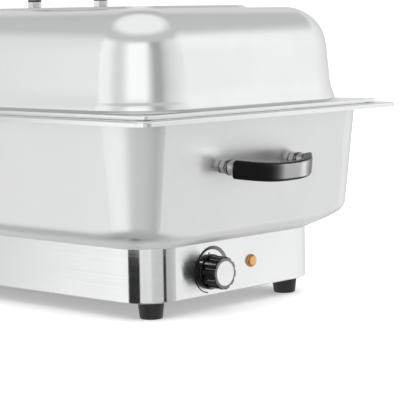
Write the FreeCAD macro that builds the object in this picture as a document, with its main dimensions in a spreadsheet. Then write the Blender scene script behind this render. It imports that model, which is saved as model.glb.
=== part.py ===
import FreeCAD, Part
import math
import os
import re

import Sketcher
from FreeCAD import Vector

# Electric food warmer tray: a mains-heated water pan on a low base, a standard
# food pan hung in it and a domed lid over both.  Millimetres.  +Z is up, +X is
# the control end, and the origin is on the table under the middle.

SIZES = (
    # feet and base
    ("foot_height", 16.2, "table to the underside of the base"),
    ("foot_top_radius", 12.5, "rubber foot where it meets the base"),
    ("foot_tread_radius", 10.6, "rubber foot on the table"),
    ("foot_inset_x", 23.6, "foot centre from the end of the base"),
    ("foot_inset_y", 28.2, "foot centre from the side of the base"),
    ("foot_recess_radius", 5.8, "hollow under the foot for its screw"),
    ("foot_recess_depth", 9.0, "depth of that hollow"),
    ("foot_head_radius", 4.6, "head of the foot screw"),
    ("foot_head", 3.0, "height of that head"),
    ("foot_washer", 1.2, "washer under that head"),
    ("base_length", 455.8, "base band, lengthwise"),
    ("base_width", 246.8, "base band, across"),
    ("base_height", 49.75, "base band, underside to top"),
    ("base_corner", 37.0, "plan radius of the base corners"),
    ("base_sheet", 1.0, "sheet of the base band and its cover"),
    ("base_top_flange", 12.0, "flange welded to the water pan"),
    ("base_bend", 1.5, "outside bend of the folded edges"),
    ("base_opening_width", 180.0, "opening in the base floor, across"),
    ("base_opening_corner", 14.0, "corner radius of that opening"),
    ("cover_overlap", 10.0, "how far the bottom cover laps the floor"),
    ("cover_gap", 2.0, "bottom cover to the feet"),
    ("vent_length", 46.0, "one vent slot"),
    ("vent_width", 5.0, "width of a vent slot"),
    ("vent_pitch", 18.0, "from one vent slot to the next"),
    ("vent_count", 14, "vent slots in a row"),
    ("vent_row_spacing", 84.0, "between the two rows of vents"),
    # water pan and top frame
    ("well_inset_x", 23.5, "frame edge to the mouth of the water pan, at an end"),
    ("well_inset_y", 14.5, "the same, at a side"),
    ("well_corner", 40.5, "plan radius at the mouth"),
    ("well_depth", 119.95, "water pan, bottom to the top of its flange"),
    ("well_draft", 5.8, "degrees, lean of the water pan wall"),
    ("well_slope", 22.0, "degrees, rise of its bottom from the base outwards"),
    ("well_bottom_radius", 12.0, "outside radius between wall and that slope"),
    ("well_sheet", 1.0, "sheet of the water pan"),
    ("well_flange", 12.0, "flange of the water pan under the frame"),
    ("frame_ledge_x", 17.0, "food pan rim to the frame edge, at an end"),
    ("frame_ledge_y", 19.7, "the same, at a side"),
    ("frame_corner", 12.0, "plan radius of the frame corners"),
    ("frame_sheet", 1.0, "sheet of the top frame"),
    ("frame_skirt", 4.6, "height of the turned-down rim"),
    ("frame_bend", 1.5, "outside bend of the rim"),
    ("pan_bearing_x", 11.0, "food pan rim on the frame, at an end"),
    ("pan_bearing_y", 10.0, "the same, at a side"),
    # food pan
    ("pan_length", 530.0, "food pan rim, lengthwise"),
    ("pan_width", 325.0, "food pan rim, across"),
    ("pan_corner", 15.0, "plan radius of the rim"),
    ("pan_rim", 2.9, "height of the flattened rim roll"),
    ("pan_depth", 65.0, "rim top to outside bottom"),
    ("pan_clearance", 2.0, "food pan wall to the frame opening"),
    ("pan_draft", 7.0, "degrees, lean of the food pan wall"),
    ("pan_wall_corner", 42.0, "plan radius of the wall at the rim"),
    ("pan_bottom_radius", 14.0, "outside radius between wall and bottom"),
    ("pan_sheet", 0.8, "sheet of the food pan"),
    # lid
    ("lid_clearance", 1.5, "lid skirt to the food pan rim"),
    ("lid_sheet", 1.0, "sheet of the lid"),
    ("lid_skirt_drop", 2.3, "skirt below the flange underside"),
    ("lid_bend", 0.9, "outside bend of the skirt"),
    ("lid_corner", 5.0, "plan radius of the skirt"),
    ("lid_flange", 12.0, "skirt to the foot of the dome"),
    ("lid_ramp_run", 8.0, "width of the ramp up to the dome"),
    ("lid_ramp_rise", 2.0, "height of that ramp"),
    ("lid_foot_corner", 60.0, "plan radius at the foot of the dome"),
    ("lid_foot_rise", 3.0, "upright part of the flared foot"),
    ("lid_foot_draft", 11.0, "degrees, lean of that part"),
    ("lid_flare_rise", 9.0, "sloping part of the flared foot"),
    ("lid_flare_draft", 22.5, "degrees, lean of that part"),
    ("lid_wall_draft", 5.5, "degrees, lean of the dome wall"),
    ("lid_dome_height", 89.0, "foot of the dome to its shoulder top"),
    ("lid_shoulder", 42.0, "outside radius of the shoulder"),
    ("lid_flare_radius", 16.0, "rounding at the top of the foot"),
    ("lid_fair_radius", 38.0, "hollow rounding of flare into wall"),
    ("lid_panel_inset", 58.0, "dome top edge to the raised panel"),
    ("lid_panel_rise", 2.5, "height of the raised panel"),
    ("lid_panel_draft", 60.0, "degrees, lean of its edge"),
    ("lid_panel_corner", 30.0, "plan radius of the raised panel"),
    # bow handles
    ("handle_height", 138.8, "side handle screws above the table, at the wall"),
    ("handle_spacing", 98.0, "between the two screws of a handle"),
    ("nut_length", 7.0, "hex nut against the wall"),
    ("nut_flats", 12.0, "across the flats of that nut"),
    ("nut_chamfer", 0.5, "chamfer on its rims"),
    ("washer_thickness", 1.6, "washer on the nut"),
    ("washer_radius", 6.9, "radius of that washer"),
    ("ferrule_length", 9.9, "washer to grip"),
    ("ferrule_radius", 7.35, "radius at the grip"),
    ("ferrule_lip", 1.5, "lip at the washer"),
    ("ferrule_groove", 0.9, "groove behind the lip"),
    ("grip_reach", 41.4, "wall to the front of the grip"),
    ("grip_thickness", 8.6, "front bar, front to back"),
    ("grip_height", 17.4, "grip at its feet"),
    ("grip_sag", 2.7, "droop of a side grip in its middle"),
    ("grip_crown", 0.8, "swell of the lid grip in its middle"),
    ("grip_front_width", 59.0, "front bar between its sharp corners"),
    ("grip_foot_width", 14.6, "width of a foot on its ferrule"),
    ("grip_corner", 52.0, "outside radius of the bow's corners"),
    ("grip_edge", 3.0, "rounding of the long edges"),
    ("screw_radius", 3.0, "handle screw"),
    ("screw_head_radius", 5.2, "head of the handle screw"),
    ("screw_head", 3.4, "height of that head"),
    ("screw_crown", 1.0, "rounding of the screw heads"),
    ("screw_engagement", 2.6, "screw inside the grip"),
    ("screw_clearance", 0.1, "screw to the holes it passes"),
    # control end
    ("knob_y", -41.9, "knob axis from the middle"),
    ("knob_height", 38.8, "knob axis above the table"),
    ("knob_gap", 0.5, "knob skirt to the panel"),
    ("knob_skirt_radius", 16.5, "skirt disc of the knob"),
    ("knob_skirt", 4.5, "height of the skirt disc"),
    ("knob_grip_radius", 15.2, "fluted part of the knob"),
    ("knob_length", 19.9, "whole height of the knob"),
    ("knob_lobes", 10, "lobes round the knob"),
    ("knob_flute_radius", 3.0, "cutter that makes a flute"),
    ("knob_flute_depth", 1.5, "depth of a flute"),
    ("knob_edge", 0.8, "rounded edges of the knob"),
    ("knob_recess_radius", 13.9, "hollow under the knob"),
    ("knob_recess", 3.0, "depth of that hollow"),
    ("cap_radius", 11.6, "bright disc on the knob"),
    ("cap_thickness", 0.6, "thickness of the disc"),
    ("pointer_width", 2.6, "rib that points to the scale"),
    ("pointer_rise", 0.3, "rib beyond the lobes"),
    ("pointer_end", 4.0, "rib to the front of the knob"),
    ("pointer_angle", 6.0, "degrees, rib to the right of upright"),
    ("shaft_radius", 3.0, "thermostat shaft"),
    ("shaft_flat", 1.4, "depth of the flat on the shaft"),
    ("shaft_running", 0.05, "running clearance of the shaft"),
    ("bushing_radius", 5.0, "thermostat bushing in the panel"),
    ("panel_clearance", 0.15, "panel holes round what passes them"),
    ("thermostat_width", 36.0, "thermostat body, across"),
    ("thermostat_height", 32.0, "thermostat body, up"),
    ("thermostat_depth", 27.0, "thermostat body, into the base"),
    ("thermostat_plate", 1.5, "steel front plate of the thermostat"),
    ("thermostat_screw_spacing", 21.0, "between the two panel screws"),
    ("blade_length", 8.0, "blade terminal"),
    ("blade_width", 6.3, "width of a blade terminal"),
    ("blade_thickness", 0.8, "thickness of a blade terminal"),
    ("blade_spread", 6.0, "blades from the thermostat's axis"),
    ("panel_screw_radius", 1.5, "small screws of the panel, cover and block"),
    ("panel_head_radius", 2.9, "heads of those screws"),
    ("panel_head", 1.8, "height of those heads"),
    ("lamp_y", 17.5, "pilot lamp axis from the middle"),
    ("lamp_height", 42.3, "pilot lamp axis above the table"),
    ("lamp_bezel_radius", 6.2, "bezel of the pilot lamp"),
    ("lamp_bezel", 0.6, "height of the bezel"),
    ("lamp_lens_radius", 5.8, "lens of the pilot lamp"),
    ("lamp_proud", 3.3, "lens above the panel"),
    ("lamp_barrel_radius", 4.6, "lamp holder behind the panel"),
    ("lamp_barrel", 24.0, "length of the lamp holder"),
    # mains inlet at the far end
    ("gland_y", 60.0, "cable gland axis from the middle"),
    ("gland_height", 40.8, "cable gland axis above the table"),
    ("gland_bore", 4.0, "radius of the way through the gland"),
    ("gland_thread_radius", 7.8, "thread of the gland"),
    ("gland_flats", 21.0, "across the flats of the gland"),
    ("gland_flange", 5.0, "hex flange outside the wall"),
    ("gland_inside", 9.0, "thread inside the wall"),
    ("gland_outside", 13.0, "collet outside the flange"),
    ("gland_cap", 16.0, "length of the dome nut"),
    # heating
    ("tube_radius", 3.25, "heating element tube"),
    ("element_inset_y", 20.15, "outer element pass from the side of the base"),
    ("element_inset_x", 67.9, "element passes from the end of the base"),
    ("terminal_inset", 37.9, "element terminals from the end of the base"),
    ("element_drop", 17.0, "terminals below the element passes"),
    ("element_bend", 8.0, "bend radius at the terminals"),
    ("bar_x", 80.0, "clamp bars, from the middle"),
    ("bar_width", 18.0, "width of a clamp bar"),
    ("bar_thickness", 2.0, "thickness of a clamp bar"),
    ("bar_overhang", 6.0, "clamp bar past the outer pass"),
    ("stud_radius", 2.5, "welded stud"),
    ("small_nut_flats", 8.0, "across the flats of the small nuts"),
    ("small_nut", 4.0, "height of the small nuts"),
    ("stud_tail", 1.5, "stud past its last nut"),
    ("shield_clearance", 9.0, "heat shield to the element terminals"),
    ("shield_inset", 16.4, "heat shield from the side of the base"),
    ("shield_sheet", 0.8, "sheet of the heat shield"),
    ("shield_lip", 6.0, "turned-down edge of the heat shield"),
    ("shield_corner", 16.0, "plan radius of the heat shield"),
    ("bulb_length", 110.0, "sensor bulb"),
    ("capillary_radius", 0.9, "capillary tube"),
    ("cutout_radius", 8.0, "thermal cut-out disc"),
    # wiring
    ("lead_radius", 1.1, "insulated lead"),
    ("lead_bend", 6.0, "widest bend of a lead"),
    ("way_clearance", 0.9, "lead to the way in the terminal block"),
    ("block_length", 36.0, "terminal block"),
    ("block_width", 20.0, "width of the terminal block"),
    ("block_height", 15.0, "height of the terminal block"),
    ("block_inset", 27.9, "terminal block from the end of the base"),
    ("stud_gap", 26.0, "earth stud beside the terminal block"),
    ("stud_height", 13.0, "earth stud above the floor"),
)

# Levels, each worked out from the sizes above.
FLOOR_TOP = "(foot_height + base_sheet)"
BASE_TOP = "(foot_height + base_height)"
WELL_TOP = f"({BASE_TOP} + well_depth)"
FRAME_TOP = f"({WELL_TOP} + frame_sheet)"
PAN_TOP = f"({FRAME_TOP} + pan_rim)"
FOOT_OF_DOME = f"({PAN_TOP} + lid_sheet + lid_ramp_rise)"
DOME_TOP = f"({FOOT_OF_DOME} + lid_dome_height)"
LID_TOP = f"({DOME_TOP} + lid_panel_rise)"

# The foot centres, and the opening that the bottom cover closes between them.
FOOT_X = "(base_length / 2 - foot_inset_x)"
FOOT_Y = "(base_width / 2 - foot_inset_y)"
OPENING_LENGTH = f"(2 * ({FOOT_X} - foot_top_radius - cover_gap - cover_overlap))"

# The frame goes round the food pan's rim, and the water pan hangs inside it.
FRAME_LENGTH = "(pan_length + 2 * frame_ledge_x)"
FRAME_WIDTH = "(pan_width + 2 * frame_ledge_y)"
WELL_LENGTH = f"({FRAME_LENGTH} - 2 * well_inset_x)"
WELL_WIDTH = f"({FRAME_WIDTH} - 2 * well_inset_y)"

# The wall of the water pan where a side handle is screwed on.
WALL_X = f"({WELL_LENGTH} / 2 - ({WELL_TOP} - handle_height) * tan(well_draft))"

# Distances along a handle screw, from the wall outwards.
WASHER_START = "nut_length"
FERRULE_START = "(nut_length + washer_thickness)"
GRIP_START = "(nut_length + washer_thickness + ferrule_length)"

# The lid skirt runs round the food pan rim.
LID_LENGTH = "(pan_length + 2 * lid_clearance + 2 * lid_sheet)"
LID_WIDTH = "(pan_width + 2 * lid_clearance + 2 * lid_sheet)"

# The element, its clamps and the heat shield hang under the water pan, inside the base.
PASS_SPACING = "((base_width / 2 - base_sheet - element_inset_y - tube_radius) / 2.5)"
PASS_REACH = "(base_length / 2 - element_inset_x)"
ELEMENT_END = "(base_length / 2 - terminal_inset)"
SHIELD_LENGTH = f"(2 * ({ELEMENT_END} - shield_clearance))"
SHIELD_WIDTH = "(base_width - 2 * base_sheet - 2 * shield_inset)"
ELEMENT_LEVEL = f"({BASE_TOP} - tube_radius)"
BAR_TOP = f"({BASE_TOP} - 2 * tube_radius)"
CLAMP_NUT_TOP = f"({BAR_TOP} - bar_thickness)"
SHIELD_TOP = f"({CLAMP_NUT_TOP} - small_nut)"
SHIELD_NUT_TOP = f"({SHIELD_TOP} - shield_sheet)"
STUD_END = f"({SHIELD_NUT_TOP} - small_nut - stud_tail)"

document = FreeCAD.newDocument("FoodWarmerTray")
sheet = document.addObject("Spreadsheet::Sheet", "Sizes")
for row, (name, number, meaning) in enumerate(SIZES, 1):
    sheet.set(f"A{row}", meaning)
    sheet.set(f"B{row}", str(number))
    sheet.setAlias(f"B{row}", name)
document.recompute()

SIZE_NAME = re.compile(r"\b(" + "|".join(name for name, _, _ in SIZES) + r")\b")
pieces = []


def formula(text):
    """Turns the size names in an expression into references to the sheet."""
    return SIZE_NAME.sub(r"Sizes.\1", str(text))


def number(text):
    """The present value of an expression."""
    quantity = sheet.evalExpression(formula(text))
    return float(getattr(quantity, "Value", quantity))


def bind(item, prop, text):
    """Binds a property of a document object to an expression."""
    item.setExpression(prop, formula(text))


def place(item, x="0", y="0", z="0", yaw="0", pitch="0", roll="0"):
    """Binds the place of a sub-part."""
    bind(item, "Placement", f"placement(vector({x}; {y}; {z}); rotation({yaw}; {pitch}; {roll}))")


# --- sketches -----------------------------------------------------------------


def new_form(label):
    """A body that is only a form to build a sub-part from."""
    body = document.addObject("PartDesign::Body", label)
    body.Label = label
    return body


def new_body(label, **where):
    """A sub-part, with its own label and place."""
    body = new_form(label)
    place(body, **where)
    pieces.append(body)
    return body


def origin_feature(body, role):
    return next(item for item in body.Origin.OriginFeatures if item.Role == role)


def new_sketch(body, plane="XY_Plane", up="0", x="0", y="0"):
    """A sketch on one of the body's own planes, raised along its normal."""
    sketch = body.newObject("Sketcher::SketchObject", body.Label + "_sketch")
    sketch.AttachmentSupport = [(origin_feature(body, plane), "")]
    sketch.MapMode = "FlatFace"
    bind(sketch, "AttachmentOffset.Base.x", x)
    bind(sketch, "AttachmentOffset.Base.y", y)
    bind(sketch, "AttachmentOffset.Base.z", up)
    return sketch


def dimension(sketch, kind, first, second, text):
    """Adds one constraint and binds its value to an expression."""
    index = sketch.addConstraint(Sketcher.Constraint(kind, *first, *second, number(text)))
    name = f"{kind}_{index}"
    sketch.renameConstraint(index, name)
    bind(sketch, "Constraints." + name, text)


def point_at(sketch, element, corner, x, y):
    """Ties a point of the sketch to a place measured from its origin."""
    dimension(sketch, "DistanceX", (-1, 1), (element, corner), x)
    dimension(sketch, "DistanceY", (-1, 1), (element, corner), y)


def polygon(sketch, corners):
    """Draws a closed polygon; each corner is a pair of expressions."""
    spots = [Vector(number(x), number(y), 0) for x, y in corners]
    lines = [Part.LineSegment(a, b) for a, b in zip(spots, spots[1:] + spots[:1])]
    ids = sketch.addGeometry(lines, False)
    for here, ahead in zip(ids, ids[1:] + ids[:1]):
        sketch.addConstraint(Sketcher.Constraint("Coincident", here, 2, ahead, 1))
    for line, (x, y) in zip(ids, corners):
        point_at(sketch, line, 1, x, y)


def rectangle(sketch, length, width, x="0", y="0"):
    """Draws a rectangle centred on x, y."""
    right, left = f"({x}) + ({length}) / 2", f"({x}) - ({length}) / 2"
    top, bottom = f"({y}) + ({width}) / 2", f"({y}) - ({width}) / 2"
    polygon(sketch, [(left, bottom), (right, bottom), (right, top), (left, top)])


def hexagon(sketch, flats, x="0", y="0"):
    """Draws a hexagon of a given size across its flats."""
    reach = f"({flats}) / sqrt(3)"
    turns = range(0, 360, 60)
    polygon(sketch, [(f"({x}) + {reach} * cos({t})", f"({y}) + {reach} * sin({t})") for t in turns])


def circle(sketch, radius, x="0", y="0"):
    """Draws a circle centred on x, y."""
    centre = Vector(number(x), number(y), 0)
    ring = sketch.addGeometry(Part.Circle(centre, Vector(0, 0, 1), number(radius)), False)
    dimension(sketch, "Radius", (ring,), (), radius)
    point_at(sketch, ring, 3, x, y)


def rounded_rectangle(sketch, length, width, radius, x="0", y="0"):
    """Draws a rectangle centred on x, y with four equal round corners."""
    middle_x, middle_y, round_by = number(x), number(y), number(radius)
    half_x, half_y = number(length) / 2, number(width) / 2
    lines, arcs = [], []
    for quarter in range(4):
        turn = math.radians(90 * quarter - 90)
        out = half_y if quarter % 2 == 0 else half_x
        along = (half_x if quarter % 2 == 0 else half_y) - round_by
        normal = Vector(math.cos(turn), math.sin(turn), 0)
        ahead = Vector(-normal.y, normal.x, 0)
        middle = Vector(middle_x, middle_y, 0) + normal * out
        lines.append(Part.LineSegment(middle - ahead * along, middle + ahead * along))
        corner = middle + ahead * along - normal * round_by
        ring = Part.Circle(corner, Vector(0, 0, 1), round_by)
        arcs.append(Part.ArcOfCircle(ring, turn, turn + math.pi / 2))
    sides = sketch.addGeometry(lines, False)
    corners = sketch.addGeometry(arcs, False)
    for quarter in range(4):
        after = sides[(quarter + 1) % 4]
        sketch.addConstraint(Sketcher.Constraint("Tangent", sides[quarter], 2, corners[quarter], 1))
        sketch.addConstraint(Sketcher.Constraint("Tangent", corners[quarter], 2, after, 1))
        straight = "Horizontal" if quarter % 2 == 0 else "Vertical"
        sketch.addConstraint(Sketcher.Constraint(straight, sides[quarter]))
    for corner in corners[1:]:
        sketch.addConstraint(Sketcher.Constraint("Equal", corners[0], corner))
    dimension(sketch, "Radius", (corners[0],), (), radius)
    dimension(sketch, "DistanceY", (-1, 1), (sides[0], 1), f"({y}) - ({width}) / 2")
    dimension(sketch, "DistanceX", (-1, 1), (sides[1], 1), f"({x}) + ({length}) / 2")
    dimension(sketch, "DistanceY", (-1, 1), (sides[2], 1), f"({y}) + ({width}) / 2")
    dimension(sketch, "DistanceX", (-1, 1), (sides[3], 1), f"({x}) - ({length}) / 2")


# --- features -----------------------------------------------------------------


def feature(body, kind, sketch, **values):
    """Adds a sketch-based feature; text values become expressions."""
    item = body.newObject("PartDesign::" + kind, f"{body.Label}_{kind}")
    item.Profile = sketch
    for prop, setting in values.items():
        if isinstance(setting, str):
            bind(item, prop, setting)
        else:
            setattr(item, prop, setting)
    document.recompute()
    return item


def pad(body, sketch, length, draft="0", **more):
    """Adds material along the sketch normal; it narrows by the draft."""
    return feature(body, "Pad", sketch, Length=length, TaperAngle=f"-({draft})", **more)


def cut(body, sketch, depth, draft="0", **more):
    """Removes material against the sketch normal; it narrows by the draft."""
    return feature(body, "Pocket", sketch, Length=depth, TaperAngle=f"-({draft})", **more)


def revolve(body, sketch, axis="H_Axis", kind="Revolution"):
    """Turns a profile about an axis of its own sketch."""
    return feature(body, kind, sketch, ReferenceAxis=(sketch, [axis]))


def edges_at(base, level, axis="Z"):
    """Names the edges that lie at one level of the body."""
    at = number(level)
    found = []
    for index, edge in enumerate(base.Shape.Edges, 1):
        box = edge.BoundBox
        low, high = getattr(box, axis + "Min"), getattr(box, axis + "Max")
        if abs(low - at) < 1e-3 and abs(high - at) < 1e-3:
            found.append(f"Edge{index}")
    return found


def upright_edges(base, x):
    """Names the upright edges at one distance along X."""
    at = number(x)
    found = []
    for index, edge in enumerate(base.Shape.Edges, 1):
        box = edge.BoundBox
        if abs(box.XMin - at) < 1e-3 and box.XLength < 1e-3 and box.YLength < 1e-3:
            found.append(f"Edge{index}")
    return found


def round_edges(body, base, edges, radius, kind="Fillet"):
    """Rounds or chamfers named edges."""
    item = body.newObject("PartDesign::" + kind, f"{body.Label}_{kind}")
    item.Base = (base, edges)
    bind(item, "Radius" if kind == "Fillet" else "Size", radius)
    document.recompute()
    return item


def mirror(body, originals, *planes):
    """Repeats features on the other side of the body's own planes."""
    body.AllowCompound = True
    if len(planes) == 1:
        item = body.newObject("PartDesign::Mirrored", body.Label + "_mirrored")
        item.Originals = originals
        item.MirrorPlane = (origin_feature(body, planes[0]), [""])
    else:
        item = body.newObject("PartDesign::MultiTransform", body.Label + "_mirrored")
        item.Originals = originals
        steps = []
        for plane in planes:
            step = body.newObject("PartDesign::Mirrored", body.Label + "_step")
            step.MirrorPlane = (origin_feature(body, plane), [""])
            steps.append(step)
        item.Transformations = steps
    body.Tip = item
    document.recompute()
    return item


def turned(body, profile, y="0", plane="XY_Plane", kind="Revolution"):
    """Turns a profile of (along, radius) corners about an axis along X."""
    sketch = new_sketch(body, plane, y=y)
    polygon(sketch, profile)
    return revolve(body, sketch, kind=kind)


def turned_upright(body, profile, x="0", y="0", kind="Revolution"):
    """Turns a profile of (radius, height) corners about an upright axis."""
    sketch = new_sketch(body, "XZ_Plane", up=f"-({y})", x=x)
    polygon(sketch, profile)
    return revolve(body, sketch, "V_Axis", kind)


def ring_profile(inner, outer, low, high):
    """A rectangle to turn upright: a washer or a tube."""
    return [(inner, low), (outer, low), (outer, high), (inner, high)]


# --- base and feet ------------------------------------------------------------


def make_base_band():
    body = new_body("base_band", z="foot_height")
    outline = new_sketch(body)
    rounded_rectangle(outline, "base_length", "base_width", "base_corner")
    block = pad(body, outline, "base_height")
    bent = round_edges(body, block, edges_at(block, "0"), "base_bend")
    inside = new_sketch(body, up="base_height")
    inner = ("base_length - 2 * base_sheet", "base_width - 2 * base_sheet", "base_corner - base_sheet")
    rounded_rectangle(inside, *inner)
    cut(body, inside, "base_height - base_sheet")
    flange = new_sketch(body, up="base_height")
    rounded_rectangle(flange, *inner)
    edge = "2 * (base_sheet + base_top_flange)"
    rounded_rectangle(flange, f"base_length - {edge}", f"base_width - {edge}",
                      "base_corner - base_sheet - base_top_flange")
    pad(body, flange, "base_sheet", Reversed=True)
    opening = new_sketch(body, up="base_sheet")
    rounded_rectangle(opening, OPENING_LENGTH, "base_opening_width", "base_opening_corner")
    cut(body, opening, "base_sheet")
    holes = new_sketch(body, up="base_sheet")
    for x in ("", "-"):
        for y in ("", "-"):
            circle(holes, "stud_radius + screw_clearance", x + FOOT_X, y + FOOT_Y)
    for x, y in cover_screw_places():
        circle(holes, "panel_screw_radius", x, y)
    cut(body, holes, "base_sheet")
    panel = new_sketch(body, "YZ_Plane", up="base_length / 2 - base_sheet")
    circle(panel, "bushing_radius + panel_clearance", "knob_y", "knob_height - foot_height")
    for side in ("-", "+"):
        circle(panel, "panel_screw_radius + panel_clearance",
               f"knob_y {side} thermostat_screw_spacing / 2", "knob_height - foot_height")
    circle(panel, "lamp_barrel_radius + panel_clearance", "lamp_y", "lamp_height - foot_height")
    feature(body, "Pocket", panel, Length="2 * base_sheet", Reversed=True)
    inlet = new_sketch(body, "YZ_Plane", up="-base_length / 2 + base_sheet")
    circle(inlet, "gland_thread_radius + panel_clearance", "gland_y", "gland_height - foot_height")
    feature(body, "Pocket", inlet, Length="2 * base_sheet")


def cover_screw_places():
    """Six screws in the lap between the bottom cover and the base floor."""
    across = "(base_opening_width + cover_overlap) / 2"
    lengthwise = f"{OPENING_LENGTH} * 5 / 12"
    return [(x, side + across) for side in ("", "-") for x in (f"-{lengthwise}", "0", lengthwise)]


def make_bottom_cover():
    body = new_body("bottom_cover", z="foot_height - base_sheet")
    outline = new_sketch(body)
    rounded_rectangle(outline, f"{OPENING_LENGTH} + 2 * cover_overlap",
                      "base_opening_width + 2 * cover_overlap",
                      "base_opening_corner + cover_overlap / 2")
    for x, y in cover_screw_places():
        circle(outline, "panel_screw_radius + panel_clearance", x, y)
    plate = pad(body, outline, "base_sheet")
    slots = new_sketch(body, up="base_sheet")
    for side in ("", "-"):
        rounded_rectangle(slots, "vent_width", "vent_length", "vent_width * 0.45",
                          "-vent_pitch * (vent_count - 1) / 2", f"{side}vent_row_spacing / 2")
    first = cut(body, slots, "base_sheet")
    row = body.newObject("PartDesign::LinearPattern", "vent_row")
    row.Originals = [first]
    row.Direction = (slots, ["H_Axis"])
    bind(row, "Length", "vent_pitch * (vent_count - 1)")
    bind(row, "Occurrences", "vent_count")
    body.Tip = row
    document.recompute()
    if row.Shape.Volume >= first.Shape.Volume or first.Shape.Volume >= plate.Shape.Volume:
        raise RuntimeError("the vents of the bottom cover cut nothing")


def make_cover_screws():
    """Pan-head screws that come up through the bottom cover."""
    body = new_body("cover_screws", z="foot_height - base_sheet")
    tip = "(2 * base_sheet + 3 * panel_screw_radius)"
    heads = [("0", "-panel_head"), ("panel_head_radius * 0.8", "-panel_head"),
             ("panel_head_radius", "-panel_head * 0.6"), ("panel_head_radius", "0"),
             ("panel_screw_radius", "0"), ("panel_screw_radius", tip), ("0", tip)]
    body.AllowCompound = True
    for x, y in cover_screw_places():
        turned_upright(body, heads, x, y)


def make_feet():
    """Four tapered rubber feet, each with its screw in a hollow underneath."""
    edge = "(foot_height / 20)"
    treads = [("foot_recess_radius", "0"), (f"foot_tread_radius - {edge}", "0"), ("foot_tread_radius", edge),
              ("foot_top_radius", "foot_height"), ("stud_radius + screw_clearance", "foot_height"),
              ("stud_radius + screw_clearance", "foot_recess_depth"),
              ("foot_recess_radius", "foot_recess_depth")]
    for end, x in (("right", ""), ("left", "-")):
        for side, y in (("front", "-"), ("back", "")):
            body = new_body(f"foot_{side}_{end}", x=x + FOOT_X, y=y + FOOT_Y)
            turned_upright(body, treads)


def make_foot_fixings():
    """A washer, a screw and a nut for each foot."""
    spot = {"x": FOOT_X, "y": FOOT_Y}
    seat = "(foot_recess_depth - foot_washer)"
    washers = new_body("foot_washers")
    ring = turned_upright(washers, ring_profile(
        "stud_radius + screw_clearance", "(foot_head_radius + foot_recess_radius) / 2",
        seat, "foot_recess_depth"), **spot)
    mirror(washers, [ring], "XZ_Plane", "YZ_Plane")
    tip = f"{FLOOR_TOP} + small_nut + stud_tail"
    screws = new_body("foot_screws")
    shape = turned_upright(screws, [
        ("0", f"{seat} - foot_head"), ("foot_head_radius * 0.8", f"{seat} - foot_head"),
        ("foot_head_radius", f"{seat} - foot_head / 2"), ("foot_head_radius", seat),
        ("stud_radius", seat), ("stud_radius", tip), ("0", tip)], **spot)
    mirror(screws, [shape], "XZ_Plane", "YZ_Plane")
    make_nut_grid("foot_nuts", FLOOR_TOP, FOOT_X, FOOT_Y)


def make_nut_grid(label, low, x, y):
    """Four small hex nuts, mirrored about the middle."""
    body = new_body(label)
    sketch = new_sketch(body, up=low)
    hexagon(sketch, "small_nut_flats", x, y)
    circle(sketch, "stud_radius + 0.05", x, y)
    nut = pad(body, sketch, "small_nut")
    mirror(body, [nut], "XZ_Plane", "YZ_Plane")


# --- water pan, frame and food pan --------------------------------------------


def hollow(label, skin, core, **where):
    """Takes the core out of the skin, which leaves a shell of sheet."""
    shell = document.addObject("Part::Cut", label)
    shell.Label = label
    shell.Base = skin
    shell.Tool = core
    place(shell, **where)
    pieces.append(shell)
    document.recompute()
    if shell.Shape.Volume > 0.2 * skin.Shape.Volume:
        raise RuntimeError(label + " was not hollowed")
    return shell


def drafted_block(body, top, length, width, corner, depth, draft, bottom_radius):
    """A block that narrows downwards and has a round bottom edge."""
    outline = new_sketch(body, up=top)
    rounded_rectangle(outline, length, width, corner)
    block = pad(body, outline, depth, draft, Reversed=True)
    return round_edges(body, block, edges_at(block, f"{top} - ({depth})"), bottom_radius)


def pan_block(label, inwards):
    """The water pan as a block, this far inside its skin: its drafted wall down to
    the slope that rises from the base's outline, with the edge between them round."""
    body = new_form(label)
    lean, edge = f"{inwards} / cos(well_draft)", f"{inwards} * tan(well_slope / 2)"
    outline = new_sketch(body, up="well_depth")
    rounded_rectangle(outline, f"{WELL_LENGTH} - 2 * {lean}", f"{WELL_WIDTH} - 2 * {lean}",
                      f"well_corner - {lean}")
    pad(body, outline, f"well_depth - {inwards}", "well_draft", Reversed=True)
    tray = new_form(label + "_slope")
    reach = f"({WELL_LENGTH} + {WELL_WIDTH} - base_length - base_width) / 2"
    foot = new_sketch(tray, up=inwards)
    rounded_rectangle(foot, f"base_length - 2 * {edge}", f"base_width - 2 * {edge}", f"base_corner - {edge}")
    pad(tray, foot, f"{reach} * tan(well_slope)", "well_slope - 90")
    above = new_sketch(tray, up=f"{inwards} + {reach} * tan(well_slope)")
    rounded_rectangle(above, f"base_length + 2 * {reach}", f"base_width + 2 * {reach}", f"base_corner + {reach}")
    pad(tray, above, "well_depth")
    common = body.newObject("PartDesign::Boolean", label + "_common")
    common.setObjects([tray])
    common.Type = "Common"
    document.recompute()
    low, high = number(inwards) + 0.1, number("well_depth") - 0.1
    meeting = [f"Edge{index}" for index, item in enumerate(common.Shape.Edges, 1)
               if item.BoundBox.ZMin > low and item.BoundBox.ZMax < high]
    round_edges(body, common, meeting, f"well_bottom_radius - {inwards}")
    return body


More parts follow.
